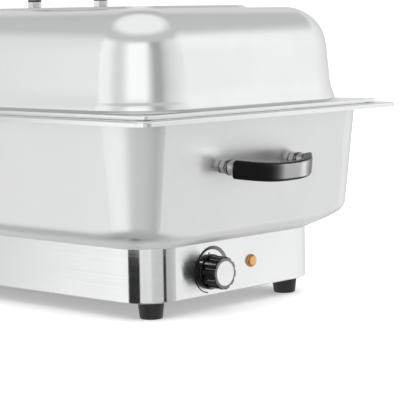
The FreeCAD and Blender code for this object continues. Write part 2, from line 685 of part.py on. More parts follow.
def make_water_pan():
    skin = pan_block("water_pan_outside", "0")
    flange = new_sketch(skin, up="well_depth")
    rounded_rectangle(flange, f"{WELL_LENGTH} + 2 * well_flange", f"{WELL_WIDTH} + 2 * well_flange",
                      "well_corner + well_flange")
    pad(skin, flange, "well_sheet", Reversed=True)
    holes = new_sketch(skin, "XZ_Plane", up="-handle_spacing / 2", x=WALL_X,
                       y=f"handle_height - {BASE_TOP}")
    bind(holes, "AttachmentOffset.Rotation.Angle", "-well_draft")
    reach = "2 * well_sheet"
    radius = "screw_radius + screw_clearance"
    polygon(holes, [(f"-{reach}", "0"), (reach, "0"), (reach, radius), (f"-{reach}", radius)])
    bore = revolve(skin, holes, kind="Groove")
    mirror(skin, [bore], "XZ_Plane", "YZ_Plane")
    hollow("water_pan", skin, pan_block("water_pan_inside", "well_sheet"), z=BASE_TOP)


def make_top_frame():
    body = new_body("top_frame", z=FRAME_TOP)
    outline = new_sketch(body)
    rounded_rectangle(outline, FRAME_LENGTH, FRAME_WIDTH, "frame_corner")
    block = pad(body, outline, "frame_skirt", Reversed=True)
    round_edges(body, block, edges_at(block, "0"), "frame_bend")
    inside = new_sketch(body, up="-frame_skirt")
    rounded_rectangle(inside, f"{FRAME_LENGTH} - 2 * frame_sheet", f"{FRAME_WIDTH} - 2 * frame_sheet",
                      "frame_corner - frame_sheet")
    cut(body, inside, "frame_skirt - frame_sheet", Reversed=True)
    opening = new_sketch(body)
    rounded_rectangle(opening, "pan_length - 2 * pan_bearing_x", "pan_width - 2 * pan_bearing_y",
                      "pan_wall_corner + pan_clearance")
    cut(body, opening, "frame_skirt")


def make_food_pan():
    skin = new_form("food_pan_outside")
    length = "(pan_length - 2 * pan_bearing_x - 2 * pan_clearance)"
    width = "(pan_width - 2 * pan_bearing_y - 2 * pan_clearance)"
    drafted_block(skin, "0", length, width, "pan_wall_corner", "pan_depth", "pan_draft",
                  "pan_bottom_radius")
    rim = new_sketch(skin)
    rounded_rectangle(rim, "pan_length", "pan_width", "pan_corner")
    plate = pad(skin, rim, "pan_rim", Reversed=True)
    round_edges(skin, plate, edges_at(plate, "0"), "pan_rim * 0.4")
    core = new_form("food_pan_inside")
    lean = "2 * pan_sheet / cos(pan_draft)"
    drafted_block(core, "0", f"{length} - {lean}", f"{width} - {lean}", f"pan_wall_corner - {lean} / 2",
                  "pan_depth - pan_sheet", "pan_draft", "pan_bottom_radius - pan_sheet")
    hollow("food_pan", skin, core, z=PAN_TOP)


# --- lid ----------------------------------------------------------------------


def dome(body, skin, foot_level):
    """Stacks the drafted tiers of the dome: foot, flare, wall and raised panel.
    The hollow side is one sheet smaller and starts one sheet lower."""
    length = f"({LID_LENGTH} - 2 * lid_flange - 2 * {skin})"
    width = f"({LID_WIDTH} - 2 * lid_flange - 2 * {skin})"
    corner = f"(lid_foot_corner - {skin})"
    level = foot_level
    tiers = ((f"(lid_foot_rise + {skin})", "lid_foot_draft"),
             ("lid_flare_rise", "lid_flare_draft"),
             (f"(lid_dome_height - lid_foot_rise - lid_flare_rise - {skin})", "lid_wall_draft"))
    bends = []
    for rise, draft in tiers:
        outline = new_sketch(body, up=level)
        rounded_rectangle(outline, length, width, corner)
        tier = pad(body, outline, rise, draft)
        shrink = f"{rise} * tan({draft})"
        length = f"({length} - 2 * {shrink})"
        width = f"({width} - 2 * {shrink})"
        corner = f"({corner} - {shrink})"
        level = f"({level} + {rise})"
        bends.append(level)
    top = round_edges(body, tier, edges_at(tier, bends[2]), f"lid_shoulder - {skin}")
    fair = round_edges(body, top, edges_at(top, bends[1]), f"lid_fair_radius + {skin}")
    round_edges(body, fair, edges_at(fair, bends[0]), f"lid_flare_radius - {skin}")
    panel = new_sketch(body, up=level)
    slope = f"{skin} / cos(lid_panel_draft)"
    rounded_rectangle(panel, f"{length} - 2 * lid_panel_inset - {slope}",
                      f"{width} - 2 * lid_panel_inset - {slope}", "lid_panel_corner")
    pad(body, panel, "lid_panel_rise", "lid_panel_draft")


def make_lid_shell():
    """Skirt, flange, ramp, flared foot, drafted wall, shoulder and raised panel."""
    ramp_inset = "2 * (lid_flange - lid_ramp_run)"
    ramp_draft = "atan(lid_ramp_run / lid_ramp_rise)"
    forms = []
    for name, skin in (("lid_outside", "0"), ("lid_inside", "lid_sheet")):
        form = new_form(name)
        skirt = new_sketch(form, up="-lid_skirt_drop")
        rounded_rectangle(skirt, f"{LID_LENGTH} - 2 * {skin}", f"{LID_WIDTH} - 2 * {skin}",
                          f"lid_corner - {skin}")
        block = pad(form, skirt, f"lid_skirt_drop + lid_sheet - {skin}")
        if skin == "0":
            block = round_edges(form, block, edges_at(block, "lid_sheet"), "lid_bend")
        ramp = new_sketch(form, up=f"lid_sheet - {skin}")
        rounded_rectangle(ramp, f"{LID_LENGTH} - {ramp_inset}", f"{LID_WIDTH} - {ramp_inset}",
                          "lid_foot_corner + lid_ramp_run")
        pad(form, ramp, "lid_ramp_rise", ramp_draft)
        dome(form, skin, f"(lid_sheet + lid_ramp_rise - {skin})")
        forms.append(form)
    holes = new_sketch(forms[0], up=f"{LID_TOP} - {PAN_TOP}")
    for side in ("-", ""):
        circle(holes, "screw_radius + screw_clearance", f"{side}handle_spacing / 2")
    cut(forms[0], holes, "2 * lid_sheet")
    hollow("lid_shell", *forms, z=PAN_TOP)


# --- bow handles --------------------------------------------------------------


def make_handle(name, wall, rise, fall, **where):
    """A bow grip on two screws, with its ferrules, washers and nuts.
    Each piece is drawn with X along the screws, outwards from the wall.
    In its middle the grip rises above its feet, and falls below them."""
    half = "handle_spacing / 2"
    hole = "(screw_radius + screw_clearance)"
    nuts = new_body(f"{name}_nuts", **where)
    faces = new_sketch(nuts, "YZ_Plane")
    hexagon(faces, "nut_flats", half)
    circle(faces, hole, half)
    nut = pad(nuts, faces, "nut_length")
    rims = edges_at(nut, "0", "X") + edges_at(nut, "nut_length", "X")
    chamfered = round_edges(nuts, nut, rims, "nut_chamfer", "Chamfer")
    mirror(nuts, [nut, chamfered], "XZ_Plane")
    washers = new_body(f"{name}_washers", **where)
    ring = turned(washers, [(WASHER_START, hole), (FERRULE_START, hole), (FERRULE_START, "washer_radius"),
                            (WASHER_START, "washer_radius")], half)
    mirror(washers, [ring], "XZ_Plane")
    lip = f"({FERRULE_START} + ferrule_lip)"
    groove = f"({lip} + ferrule_groove)"
    ferrules = new_body(f"{name}_ferrules", **where)
    sleeve = turned(ferrules, [
        (FERRULE_START, hole), (GRIP_START, hole), (GRIP_START, "ferrule_radius"),
        (groove, "ferrule_radius - 0.3"), (groove, "ferrule_radius - ferrule_groove"),
        (lip, "ferrule_radius - ferrule_groove"), (lip, "ferrule_radius"),
        (FERRULE_START, "ferrule_radius")], half)
    mirror(ferrules, [sleeve], "XZ_Plane")
    screws = new_body(f"{name}_screws", **where)
    end = f"({GRIP_START} + screw_engagement)"
    crown = f"-({wall} + screw_head)"
    shank = turned(screws, [
        (crown, "0"), (crown, "screw_head_radius - screw_crown"),
        (f"{crown} + screw_crown", "screw_head_radius"), (f"-{wall}", "screw_head_radius"),
        (f"-{wall}", "screw_radius"), (end, "screw_radius"), (end, "0")], half)
    mirror(screws, [shank], "XZ_Plane")
    make_grip(f"{name}_grip", half, end, rise, fall, **where)


def make_grip(label, half, screw_end, rise, fall, **where):
    """The moulded bow: its outline from above, then its height from the front."""
    body = new_body(label, **where)
    foot_out = f"({half} + grip_foot_width / 2)"
    foot_in = f"({half} - grip_foot_width / 2)"
    leg = f"atan(({foot_out} - grip_front_width / 2) / (grip_reach - {GRIP_START}))"
    back = "(grip_reach - grip_thickness)"
    inner = f"(grip_front_width / 2 - grip_thickness * tan((90 deg - {leg}) / 2))"
    plan = new_sketch(body)
    polygon(plan, [(GRIP_START, f"-{foot_out}"), ("grip_reach", "-grip_front_width / 2"),
                   ("grip_reach", "grip_front_width / 2"), (GRIP_START, foot_out), (GRIP_START, foot_in),
                   (back, inner), (back, f"-{inner}"), (GRIP_START, f"-{foot_in}")])
    bow = pad(body, plan, "2 * grip_height", Midplane=True)
    bent = round_edges(body, bow, upright_edges(bow, "grip_reach"), "grip_corner")
    bent = round_edges(body, bent, upright_edges(bent, back), "grip_corner - grip_thickness")
    front = new_sketch(body, "YZ_Plane")
    bar_outline(front, foot_out, "grip_height / 2", rise, fall)
    rectangle(front, f"3 * {foot_out}", "3 * grip_height")
    crowned = feature(body, "Pocket", front, Length="grip_reach + 1", Reversed=True)
    seat = number(GRIP_START)
    long_edges = [f"Edge{index}" for index, edge in enumerate(crowned.Shape.Edges, 1)
                  if edge.BoundBox.XMax > seat + 0.1 and edge.BoundBox.ZLength < number("grip_height") / 2]
    rounded = round_edges(body, crowned, long_edges, "grip_edge")
    bore = turned(body, [(GRIP_START, "0"), (f"{screw_end} + 0.3", "0"),
                         (f"{screw_end} + 0.3", "screw_radius + screw_clearance / 2"),
                         (GRIP_START, "screw_radius + screw_clearance / 2")], half, kind="Groove")
    mirror(body, [bore], "XZ_Plane")
    if body.Shape.Volume >= rounded.Shape.Volume or crowned.Shape.Volume >= bent.Shape.Volume:
        raise RuntimeError(label + " was not cut")


def bar_outline(sketch, half, low, rise, fall):
    """Draws a bar between two arcs, which rise and fall from its ends by so much."""
    wide, edge = number(half), number(low)
    spots = [Vector(-wide, -edge, 0), Vector(wide, -edge, 0), Vector(wide, edge, 0), Vector(-wide, edge, 0)]
    sag = [Vector(0, -edge - number(fall), 0), Vector(0, edge + number(rise), 0)]
    below = sketch.addGeometry(Part.Arc(spots[0], sag[0], spots[1]), False)
    right = sketch.addGeometry(Part.LineSegment(spots[1], spots[2]), False)
    above = sketch.addGeometry(Part.Arc(spots[2], sag[1], spots[3]), False)
    left = sketch.addGeometry(Part.LineSegment(spots[3], spots[0]), False)
    ends = [(sketch.getPoint(item, 1), sketch.getPoint(item, 2)) for item in (below, right, above, left)]
    for first, second in ((below, right), (right, above), (above, left), (left, below)):
        pairs = [(a, b) for a in (1, 2) for b in (1, 2)]
        meet = min(pairs, key=lambda pair: (ends[first][pair[0] - 1] - ends[second][pair[1] - 1]).Length)
        sketch.addConstraint(Sketcher.Constraint("Coincident", first, meet[0], second, meet[1]))
    point_at(sketch, right, 1, half, f"-({low})")
    point_at(sketch, right, 2, half, low)
    point_at(sketch, left, 1, f"-({half})", low)
    point_at(sketch, left, 2, f"-({half})", f"-({low})")
    for arc, bulge in ((below, fall), (above, rise)):
        dimension(sketch, "Radius", (arc,), (), f"(({half}) ^ 2 + ({bulge}) ^ 2) / (2 * abs({bulge}))")


# --- knob, thermostat and pilot lamp ------------------------------------------

KNOB = {"x": "base_length / 2", "y": "knob_y", "z": "knob_height", "pitch": "90"}
LAMP = {"x": "base_length / 2", "y": "lamp_y", "z": "lamp_height", "pitch": "90"}
GLAND = {"x": "-base_length / 2", "y": "gland_y", "z": "gland_height", "pitch": "-90"}
KNOB_FRONT = "(knob_gap + knob_length)"
SHAFT_END = f"({KNOB_FRONT} - cap_thickness - 1.5)"


def d_outline(sketch, radius, flat):
    """Draws a circle with a flat on its +X side."""
    size, across = number(radius), number(radius) - number(flat)
    half_turn = math.acos(across / size)
    ring = Part.Circle(Vector(), Vector(0, 0, 1), size)
    arc = sketch.addGeometry(Part.ArcOfCircle(ring, half_turn, 2 * math.pi - half_turn), False)
    rise = size * math.sin(half_turn)
    chord = sketch.addGeometry(Part.LineSegment(Vector(across, -rise, 0), Vector(across, rise, 0)), False)
    sketch.addConstraint(Sketcher.Constraint("Coincident", arc, 2, chord, 1))
    sketch.addConstraint(Sketcher.Constraint("Coincident", arc, 1, chord, 2))
    sketch.addConstraint(Sketcher.Constraint("Coincident", arc, 3, -1, 1))
    sketch.addConstraint(Sketcher.Constraint("Vertical", chord))
    dimension(sketch, "Radius", (arc,), (), radius)
    dimension(sketch, "DistanceX", (-1, 1), (chord, 1), f"({radius}) - ({flat})")


def make_knob():
    """Skirt disc, fluted grip, pointer rib and a D bore for the shaft."""
    body = new_body("control_knob", **KNOB)
    skirt = new_sketch(body, up="knob_gap")
    circle(skirt, "knob_skirt_radius")
    disc = pad(body, skirt, "knob_skirt")
    round_edges(body, disc, edges_at(disc, "knob_gap + knob_skirt"), "knob_edge")
    grip = new_sketch(body, up="knob_gap + knob_skirt")
    circle(grip, "knob_grip_radius")
    stem = pad(body, grip, "knob_length - knob_skirt")
    round_edges(body, stem, edges_at(stem, KNOB_FRONT), "knob_edge")
    flute = new_sketch(body, up=KNOB_FRONT)
    bind(flute, "AttachmentOffset.Rotation.Angle", "180 - pointer_angle")
    circle(flute, "knob_flute_radius", "knob_grip_radius + knob_flute_radius - knob_flute_depth")
    first = cut(body, flute, "knob_length - knob_skirt")
    ring = body.newObject("PartDesign::PolarPattern", "knob_flutes")
    ring.Originals = [first]
    ring.Axis = (flute, ["N_Axis"])
    ring.Angle = 360
    bind(ring, "Occurrences", "knob_lobes")
    body.Tip = ring
    document.recompute()
    seat = new_sketch(body, up=KNOB_FRONT)
    circle(seat, "cap_radius + 0.05")
    cut(body, seat, "cap_thickness / 2")
    under = new_sketch(body, up="knob_gap")
    circle(under, "knob_recess_radius")
    cut(body, under, "knob_recess", Reversed=True)
    bore = new_sketch(body, up="knob_gap")
    d_outline(bore, "shaft_radius + shaft_running", "shaft_flat")
    cut(body, bore, f"{SHAFT_END} - knob_gap + 0.2", Reversed=True)
    rib = new_sketch(body, up="knob_gap + knob_skirt / 2")
    bind(rib, "AttachmentOffset.Rotation.Angle", "180 - pointer_angle")
    inner = "(knob_grip_radius - knob_flute_depth - 0.5)"
    outer = "(knob_grip_radius + pointer_rise)"
    rectangle(rib, f"{outer} - {inner}", "pointer_width", f"({outer} + {inner}) / 2")
    pad(body, rib, "knob_length - knob_skirt / 2 - pointer_end")
    cap = new_body("knob_cap", **KNOB)
    low, high = f"{KNOB_FRONT} - cap_thickness / 2", f"{KNOB_FRONT} + cap_thickness / 2"
    turned_upright(cap, [("0", low), ("cap_radius", low), ("cap_radius", f"{high} - 0.2"),
                         ("cap_radius - 0.2", high), ("0", high)])
    shaft = new_body("thermostat_shaft", **KNOB)
    rod = new_sketch(shaft, up="-thermostat_depth / 2")
    circle(rod, "shaft_radius")
    pad(shaft, rod, f"thermostat_depth / 2 + {SHAFT_END}")
    flat = new_sketch(shaft, up="knob_gap + knob_recess")
    rectangle(flat, "shaft_flat + 0.2", "3 * shaft_radius", "shaft_radius - shaft_flat / 2 + 0.1")
    cut(shaft, flat, "knob_length", Reversed=True)


PANEL_BACK = "(-base_sheet)"
THERMOSTAT_FRONT = f"({PANEL_BACK} - thermostat_plate)"
THERMOSTAT_BACK = f"({THERMOSTAT_FRONT} - thermostat_depth)"


def make_thermostat():
    """Capillary thermostat: steel plate and bushing, body and blade terminals."""
    body = new_body("thermostat_body", **KNOB)
    block = new_sketch(body, up=THERMOSTAT_BACK)
    rounded_rectangle(block, "thermostat_height", "thermostat_width", "3")
    pad(body, block, "thermostat_depth")
    plate = new_sketch(body, up=THERMOSTAT_FRONT)
    rounded_rectangle(plate, "thermostat_height + 2", "thermostat_width + 2", "2")
    pad(body, plate, "thermostat_plate")
    bushing = new_sketch(body, up=PANEL_BACK)
    circle(bushing, "bushing_radius")
    pad(body, bushing, "base_sheet + knob_gap + knob_recess / 2")
    blades = new_sketch(body, up=THERMOSTAT_BACK)
    for side in ("-", ""):
        rectangle(blades, "blade_thickness", "blade_width", f"{side}blade_spread", f"{side}blade_spread")
    pad(body, blades, "blade_length", Reversed=True)
    bore = new_sketch(body, up="knob_gap + knob_recess / 2")
    circle(bore, "shaft_radius + shaft_running")
    cut(body, bore, "base_sheet + knob_gap + knob_recess / 2 + thermostat_depth / 2")
    taps = new_sketch(body, up=PANEL_BACK)
    for side in ("-", ""):
        circle(taps, "panel_screw_radius + 0.05", "0", f"{side}thermostat_screw_spacing / 2")
    cut(body, taps, "thermostat_plate + 5")
    screws = new_body("thermostat_screws", **KNOB)
    tip = f"({PANEL_BACK} - thermostat_plate - 4.5)"
    screw = turned_upright(screws, [
        ("0", tip), ("panel_screw_radius", tip), ("panel_screw_radius", "0"), ("panel_head_radius", "0"),
        ("panel_head_radius", "panel_head * 0.6"), ("panel_head_radius * 0.8", "panel_head"),
        ("0", "panel_head")], y="thermostat_screw_spacing / 2")
    mirror(screws, [screw], "XZ_Plane")


def make_lamp():
    """Pilot lamp: holder with its bezel, clip behind the panel and amber lens."""
    stem = "(lamp_barrel_radius - 1.2)"
    holder = new_body("lamp_holder", **LAMP)
    turned_upright(holder, [
        (stem, "-lamp_barrel / 2"), ("0", "-lamp_barrel / 2"), ("0", "-lamp_barrel"),
        ("lamp_barrel_radius", "-lamp_barrel"), ("lamp_barrel_radius", "0"), ("lamp_bezel_radius", "0"),
        ("lamp_bezel_radius", "lamp_bezel * 0.5"), ("lamp_bezel_radius - 0.5", "lamp_bezel"),
        (stem, "lamp_bezel")])
    blades = new_sketch(holder, up="-lamp_barrel")
    for side in ("-", ""):
        rectangle(blades, "3", "blade_thickness", "0", f"{side}2.2")
    pad(holder, blades, "blade_length", Reversed=True)
    lens = new_body("lamp_lens", **LAMP)
    turned_upright(lens, [
        ("0", "-lamp_barrel / 2"), (f"{stem} - 0.05", "-lamp_barrel / 2"), (f"{stem} - 0.05", "lamp_bezel"),
        ("lamp_lens_radius", "lamp_bezel"), ("lamp_lens_radius", "lamp_proud - 1.6"),
        ("lamp_lens_radius - 0.7", "lamp_proud - 0.5"), ("lamp_lens_radius - 2", "lamp_proud"),
        ("0", "lamp_proud")])
    clip = new_body("lamp_clip", **LAMP)
    turned_upright(clip, ring_profile("lamp_barrel_radius + 0.05", "lamp_bezel_radius + 2",
                                      f"{PANEL_BACK} - 1.2", PANEL_BACK))


# --- mains inlet --------------------------------------------------------------


def make_gland():
    """Cable gland at the far end: body, locknut and dome nut, open right through."""
    inner_end = f"({PANEL_BACK} - gland_inside)"
    body = new_body("gland_body", **GLAND)
    thread = new_sketch(body, up=inner_end)
    circle(thread, "gland_thread_radius")
    pad(body, thread, f"gland_flange + gland_outside - {inner_end}")
    flange = new_sketch(body)
    hexagon(flange, "gland_flats")
    pad(body, flange, "gland_flange")
    bore = new_sketch(body, up=inner_end)
    circle(bore, "gland_bore")
    cut(body, bore, f"gland_flange + gland_outside - {inner_end}", Reversed=True)
    locknut = new_body("gland_locknut", **GLAND)
    ring = new_sketch(locknut, up=PANEL_BACK)
    hexagon(ring, "gland_flats")
    circle(ring, "gland_thread_radius + 0.05")
    pad(locknut, ring, "gland_inside / 2", Reversed=True)
    nut = new_body("gland_dome_nut", **GLAND)
    mouth, tip = "(gland_flange + 0.3)", "(gland_flange + 0.3 + gland_cap)"
    seat = "(gland_flange + gland_outside + 0.2)"
    turned_upright(nut, [
        ("gland_thread_radius + 0.05", mouth), ("gland_flats / 2", mouth),
        ("gland_flats / 2", f"{mouth} + 0.56 * gland_cap"),
        ("gland_flats / 2 - 1.5", f"{mouth} + 0.75 * gland_cap"), ("gland_bore + 2.5", tip),
        ("gland_bore", tip),
        ("gland_bore", seat), ("gland_thread_radius + 0.05", seat)])


# --- heating ------------------------------------------------------------------


def tube(label, radius, route, bends):
    """A tube of straight runs joined by tangent arcs, through places given as
    triples of expressions, with the radius of each bend where there is room."""
    spots = [Vector(*(number(value) for value in spot)) for spot in route]
    edges, here = [], spots[0]
    for before, corner, after, bend in zip(spots, spots[1:], spots[2:], bends):
        towards, away = (before - corner).normalize(), (after - corner).normalize()
        half = towards.getAngle(away) / 2
        room = min((before - corner).Length, (after - corner).Length) / 2
        turn = min(number(bend), room * math.tan(half))
        start, end = (corner + way * (turn / math.tan(half)) for way in (towards, away))
        middle = corner + (towards + away).normalize() * (turn / math.sin(half) - turn)
        if (start - here).Length > 1e-6:
            edges.append(Part.LineSegment(here, start).toShape())
        edges.append(Part.Arc(start, middle, end).toShape())
        here = end
    edges.append(Part.LineSegment(here, spots[-1]).toShape())
    spine = Part.Wire(edges)
    ring = Part.Circle(spots[0], spots[1] - spots[0], number(radius))
    solid = spine.makePipeShell([Part.Wire(ring.toShape())], True, False)
    expected = spine.Length * math.pi * number(radius) ** 2
    if abs(solid.Volume / expected - 1) > 0.01:
        raise RuntimeError(f"{label} is not a sound tube")
    new_tubes(label, solid)


def new_tubes(label, solid):
    """A sub-part set from a Part solid."""
    piece = document.addObject("Part::Feature", label)
    piece.Label = label
    piece.Shape = solid
    pieces.append(piece)


def make_element():
    """Tubular element in six passes, its ends turned down at the control end."""
    level = ELEMENT_LEVEL
    low = f"({ELEMENT_LEVEL} - element_drop)"
    far = f"-({PASS_REACH} + {PASS_SPACING} * 0.6)"
    inner, middle, outer = (f"{PASS_SPACING} * {count}" for count in (0.5, 1.5, 2.5))
    half = [(ELEMENT_END, inner, low), (ELEMENT_END, inner, level), (f"-{PASS_REACH}", inner, level),
            (f"-{PASS_REACH}", middle, level), (PASS_REACH, middle, level), (PASS_REACH, outer, level),
            (far, outer, level)]
    other = [(x, f"-{y}", z) for x, y, z in reversed(half)]
    wide = [f"{PASS_SPACING} / 2"] * 10
    tube("heating_element", "tube_radius", half + other, ["element_bend", *wide, "element_bend"])
    ends = new_body("element_terminals", x=ELEMENT_END)
    bead = f"({low} - 4)"
    pin = f"({bead} - 8)"
    shape = turned_upright(ends, [
        ("0", low), ("tube_radius + 0.8", low), ("tube_radius + 0.8", bead), ("1.5", bead), ("1.5", pin),
        ("0", pin)], y=f"{PASS_SPACING} / 2")
    mirror(ends, [shape], "XZ_Plane")


def make_element_fixings():
    """Welded studs, clamp bars and nuts, and the heat shield below them."""
    gap = f"2 * {PASS_SPACING}"
    studs = new_body("pan_studs")
    stud = turned_upright(studs, [("0", STUD_END), ("stud_radius", STUD_END), ("stud_radius", BASE_TOP),
                                  ("0", BASE_TOP)], x="bar_x", y=gap)
    mirror(studs, [stud], "XZ_Plane", "YZ_Plane")
    bars = new_body("clamp_bars")
    outline = new_sketch(bars, up=BAR_TOP)
    rectangle(outline, "bar_width", f"5 * {PASS_SPACING} + 2 * bar_overhang", "bar_x")
    for side in ("-", ""):
        circle(outline, "stud_radius + screw_clearance", "bar_x", side + gap)
    bar = pad(bars, outline, "bar_thickness", Reversed=True)
    mirror(bars, [bar], "YZ_Plane")
    make_nut_grid("clamp_nuts", SHIELD_TOP, "bar_x", gap)
    make_nut_grid("shield_nuts", f"({SHIELD_NUT_TOP} - small_nut)", "bar_x", gap)
    shield = new_body("heat_shield", z=SHIELD_TOP)
    outside = new_sketch(shield)
    rounded_rectangle(outside, SHIELD_LENGTH, SHIELD_WIDTH, "shield_corner")
    block = pad(shield, outside, "shield_sheet + shield_lip", Reversed=True)
    round_edges(shield, block, edges_at(block, "0"), "2 * shield_sheet")
    inside = new_sketch(shield, up="-(shield_sheet + shield_lip)")
    rounded_rectangle(inside, f"{SHIELD_LENGTH} - 2 * shield_sheet",
                      f"{SHIELD_WIDTH} - 2 * shield_sheet", "shield_corner - shield_sheet")
    cut(shield, inside, "shield_lip", Reversed=True)
    holes = new_sketch(shield)
    for x in ("-", ""):
        for y in ("-", ""):
            circle(holes, "stud_radius + screw_clearance", f"{x}bar_x", y + gap)
    cut(shield, holes, "shield_sheet")


def make_sensing():
    """The thermostat's bulb and the cut-out, both held up by a clamp bar."""
    bulb = new_body("sensor_bulb", x="bar_x", y=PASS_SPACING, z=ELEMENT_LEVEL)
    half = "bulb_length / 2"
    turned(bulb, [(f"-{half}", "0"), (f"-{half}", "tube_radius - 1.5"), (f"1.5 - {half}", "tube_radius"),
                  (f"{half} - 4", "tube_radius"), (half, "capillary_radius"), (half, "0")])
    side = "(knob_y + thermostat_width / 2)"
    drop_x = "(base_length / 2 + " + THERMOSTAT_BACK + " + thermostat_depth / 3)"
    low = "(knob_height - thermostat_height / 3)"
    route = [("bar_x + bulb_length / 2", PASS_SPACING, ELEMENT_LEVEL),
             (drop_x, PASS_SPACING, ELEMENT_LEVEL), (drop_x, PASS_SPACING, low), (drop_x, side, low)]
    tube("capillary_tube", "capillary_radius", route, ["lead_bend"] * 2)
    cutout = new_body("thermal_cutout", x="bar_x", y=f"-{PASS_SPACING}", z=BAR_TOP)
    case = new_sketch(cutout)
    circle(case, "cutout_radius")
    pad(cutout, case, "2 * tube_radius")
    blades = new_sketch(cutout, up="tube_radius")
    for side_ in ("-", ""):
        rectangle(blades, "blade_length + 1", "blade_width / 2",
                  "cutout_radius + blade_length / 2 - 0.5", f"{side_}cutout_radius / 2")
    pad(cutout, blades, "blade_thickness")


# --- wiring -------------------------------------------------------------------

BLOCK_X = "(block_inset - base_length / 2)"
EARTH_Y = "(-block_length / 2 - stud_gap)"


def make_terminal_block():
    """Three-way block and the earth stud, on the base floor by the inlet."""
    block = new_body("terminal_block", x=BLOCK_X, z=FLOOR_TOP)
    outline = new_sketch(block)
    rounded_rectangle(outline, "block_width", "block_length", "1.5")
    pad(block, outline, "block_height")
    steps = new_sketch(block, up="block_height")
    for side in ("-", ""):
        rectangle(steps, "block_width / 4", "block_length + 2", f"{side}block_width * 3 / 8")
    cut(block, steps, "block_height / 3")
    ways = new_sketch(block, "YZ_Plane", up="-block_width / 2")
    for y in ("-block_length / 3", "0", "block_length / 3"):
        circle(ways, "lead_radius + way_clearance", y, "block_height / 3")
    cut(block, ways, "block_width", Reversed=True)
    taps = new_sketch(block, up="block_height")
    for y in ("-block_length / 3", "0", "block_length / 3"):
        circle(taps, "panel_screw_radius + 0.05", "0", y)
    cut(block, taps, "block_height * 2 / 3")
    screws = new_body("terminal_screws", x=BLOCK_X, z=f"{FLOOR_TOP} + block_height")
    screws.AllowCompound = True
    for y in ("-block_length / 3", "0", "block_length / 3"):
        turned_upright(screws, [("0", "-block_height / 2"), ("panel_screw_radius", "-block_height / 2"),
                                ("panel_screw_radius", "0"), ("panel_head_radius * 0.8", "0"),
                                ("panel_head_radius * 0.8", "panel_head"), ("0", "panel_head")], y=y)
    earth = new_body("earth_stud", x=BLOCK_X, y=EARTH_Y, z=FLOOR_TOP)
    turned_upright(earth, [
        ("0", "0"), ("small_nut_flats / 2", "0"), ("small_nut_flats / 2", "base_sheet"),
        ("stud_radius", "base_sheet"), ("stud_radius", "stud_height"), ("0", "stud_height")])
    nut = new_body("earth_nut", x=BLOCK_X, y=EARTH_Y, z=FLOOR_TOP)
    faces = new_sketch(nut, up="base_sheet")
    hexagon(faces, "small_nut_flats")
    circle(faces, "stud_radius + 0.05")
    pad(nut, faces, "small_nut")


def make_leads():
    """Insulated leads, each from terminal to terminal, laid along the base floor."""
    way_x, clear_x = f"({BLOCK_X} + block_width / 2 - 2)", f"({BLOCK_X} + block_width)"
    way_z = f"({FLOOR_TOP} + block_height / 3 - way_clearance)"
    low = f"({FLOOR_TOP} + lead_radius + 0.3)"
    blade_x = f"(base_length / 2 + {THERMOSTAT_BACK} - blade_length)"
    tab_x = "(bar_x + cutout_radius + blade_length + 0.5)"
    tab_z = f"({BAR_TOP} + tube_radius + blade_thickness / 2)"
    earth_z = f"({FLOOR_TOP} + base_sheet + small_nut + lead_radius)"
    pin_z = f"({ELEMENT_LEVEL} - element_drop - 12)"
    live_y, control_y = "(knob_y - blade_spread)", "(knob_y + blade_spread)"
    live_z, control_z = "(knob_height + blade_spread)", "(knob_height - blade_spread)"
    near, far = f"-{PASS_SPACING} / 2", f"{PASS_SPACING} / 2"
    tab = "cutout_radius / 2"
    clear = "4 * lead_bend"
    routes = {
        "lead_live": [(way_x, "0", way_z), (clear_x, "0", way_z), (f"{clear_x} + {clear}", "0", low),
                      (f"{blade_x} - lead_bend", "0", low), (f"{blade_x} - lead_bend", live_y, low),
                      (f"{blade_x} - lead_bend", live_y, live_z), (blade_x, live_y, live_z)],
        "lead_control": [(blade_x, control_y, control_z), (f"{blade_x} - lead_bend", control_y, control_z),
                         (f"{blade_x} - lead_bend", f"-{PASS_SPACING} - {tab}", tab_z),
                         (tab_x, f"-{PASS_SPACING} - {tab}", tab_z)],
        "lead_heater": [(tab_x, f"{tab} - {PASS_SPACING}", tab_z),
                        (f"{tab_x} + {clear}", f"{tab} - {PASS_SPACING}", tab_z),
                        (f"{ELEMENT_END} - {clear}", f"{near} - 1.4 * lead_bend", tab_z),
                        (ELEMENT_END, f"{near} - 1.4 * lead_bend", tab_z),
                        (ELEMENT_END, f"{near} - 1.4 * lead_bend", f"{pin_z} - 1.4 * lead_bend"),
                        (ELEMENT_END, near, f"{pin_z} - 1.4 * lead_bend"), (ELEMENT_END, near, pin_z)],
        "lead_neutral": [(way_x, "block_length / 3", way_z), (clear_x, "block_length / 3", way_z),
                         (f"{clear_x} + {clear}", "block_length / 3", low),
                         ("bar_x", "block_length / 3", low), (f"{ELEMENT_END} - {clear}", far, low),
                         (ELEMENT_END, far, low), (ELEMENT_END, far, pin_z)],
        "lead_earth": [(way_x, "-block_length / 3", way_z), (clear_x, "-block_length / 3", way_z),
                       (clear_x, EARTH_Y, earth_z), (f"{BLOCK_X} + stud_radius", EARTH_Y, earth_z)],
    }
    for label, route in routes.items():
        tube(label, "lead_radius", route, ["lead_bend"] * (len(route) - 2))


# --- build, test and write ----------------------------------------------------


def build():
    make_base_band()
    make_bottom_cover()
    make_cover_screws()
    make_feet()
    make_foot_fixings()
    make_water_pan()
    make_top_frame()
    make_food_pan()
    make_lid_shell()
    side = {"z": "handle_height", "pitch": "well_draft"}
    droop = ("-grip_sag", "grip_sag")
    make_handle("right_handle", "well_sheet", *droop, x=WALL_X, **side)
    make_handle("left_handle", "well_sheet", *droop, x="-" + WALL_X, yaw="180", **side)
    make_handle("lid_handle", "lid_sheet", "grip_crown", "grip_crown", z=LID_TOP, yaw="90", pitch="-90")
    make_knob()
    make_thermostat()
    make_lamp()
    make_gland()
    make_element()
    make_element_fixings()
    make_sensing()
    make_terminal_block()
    make_leads()


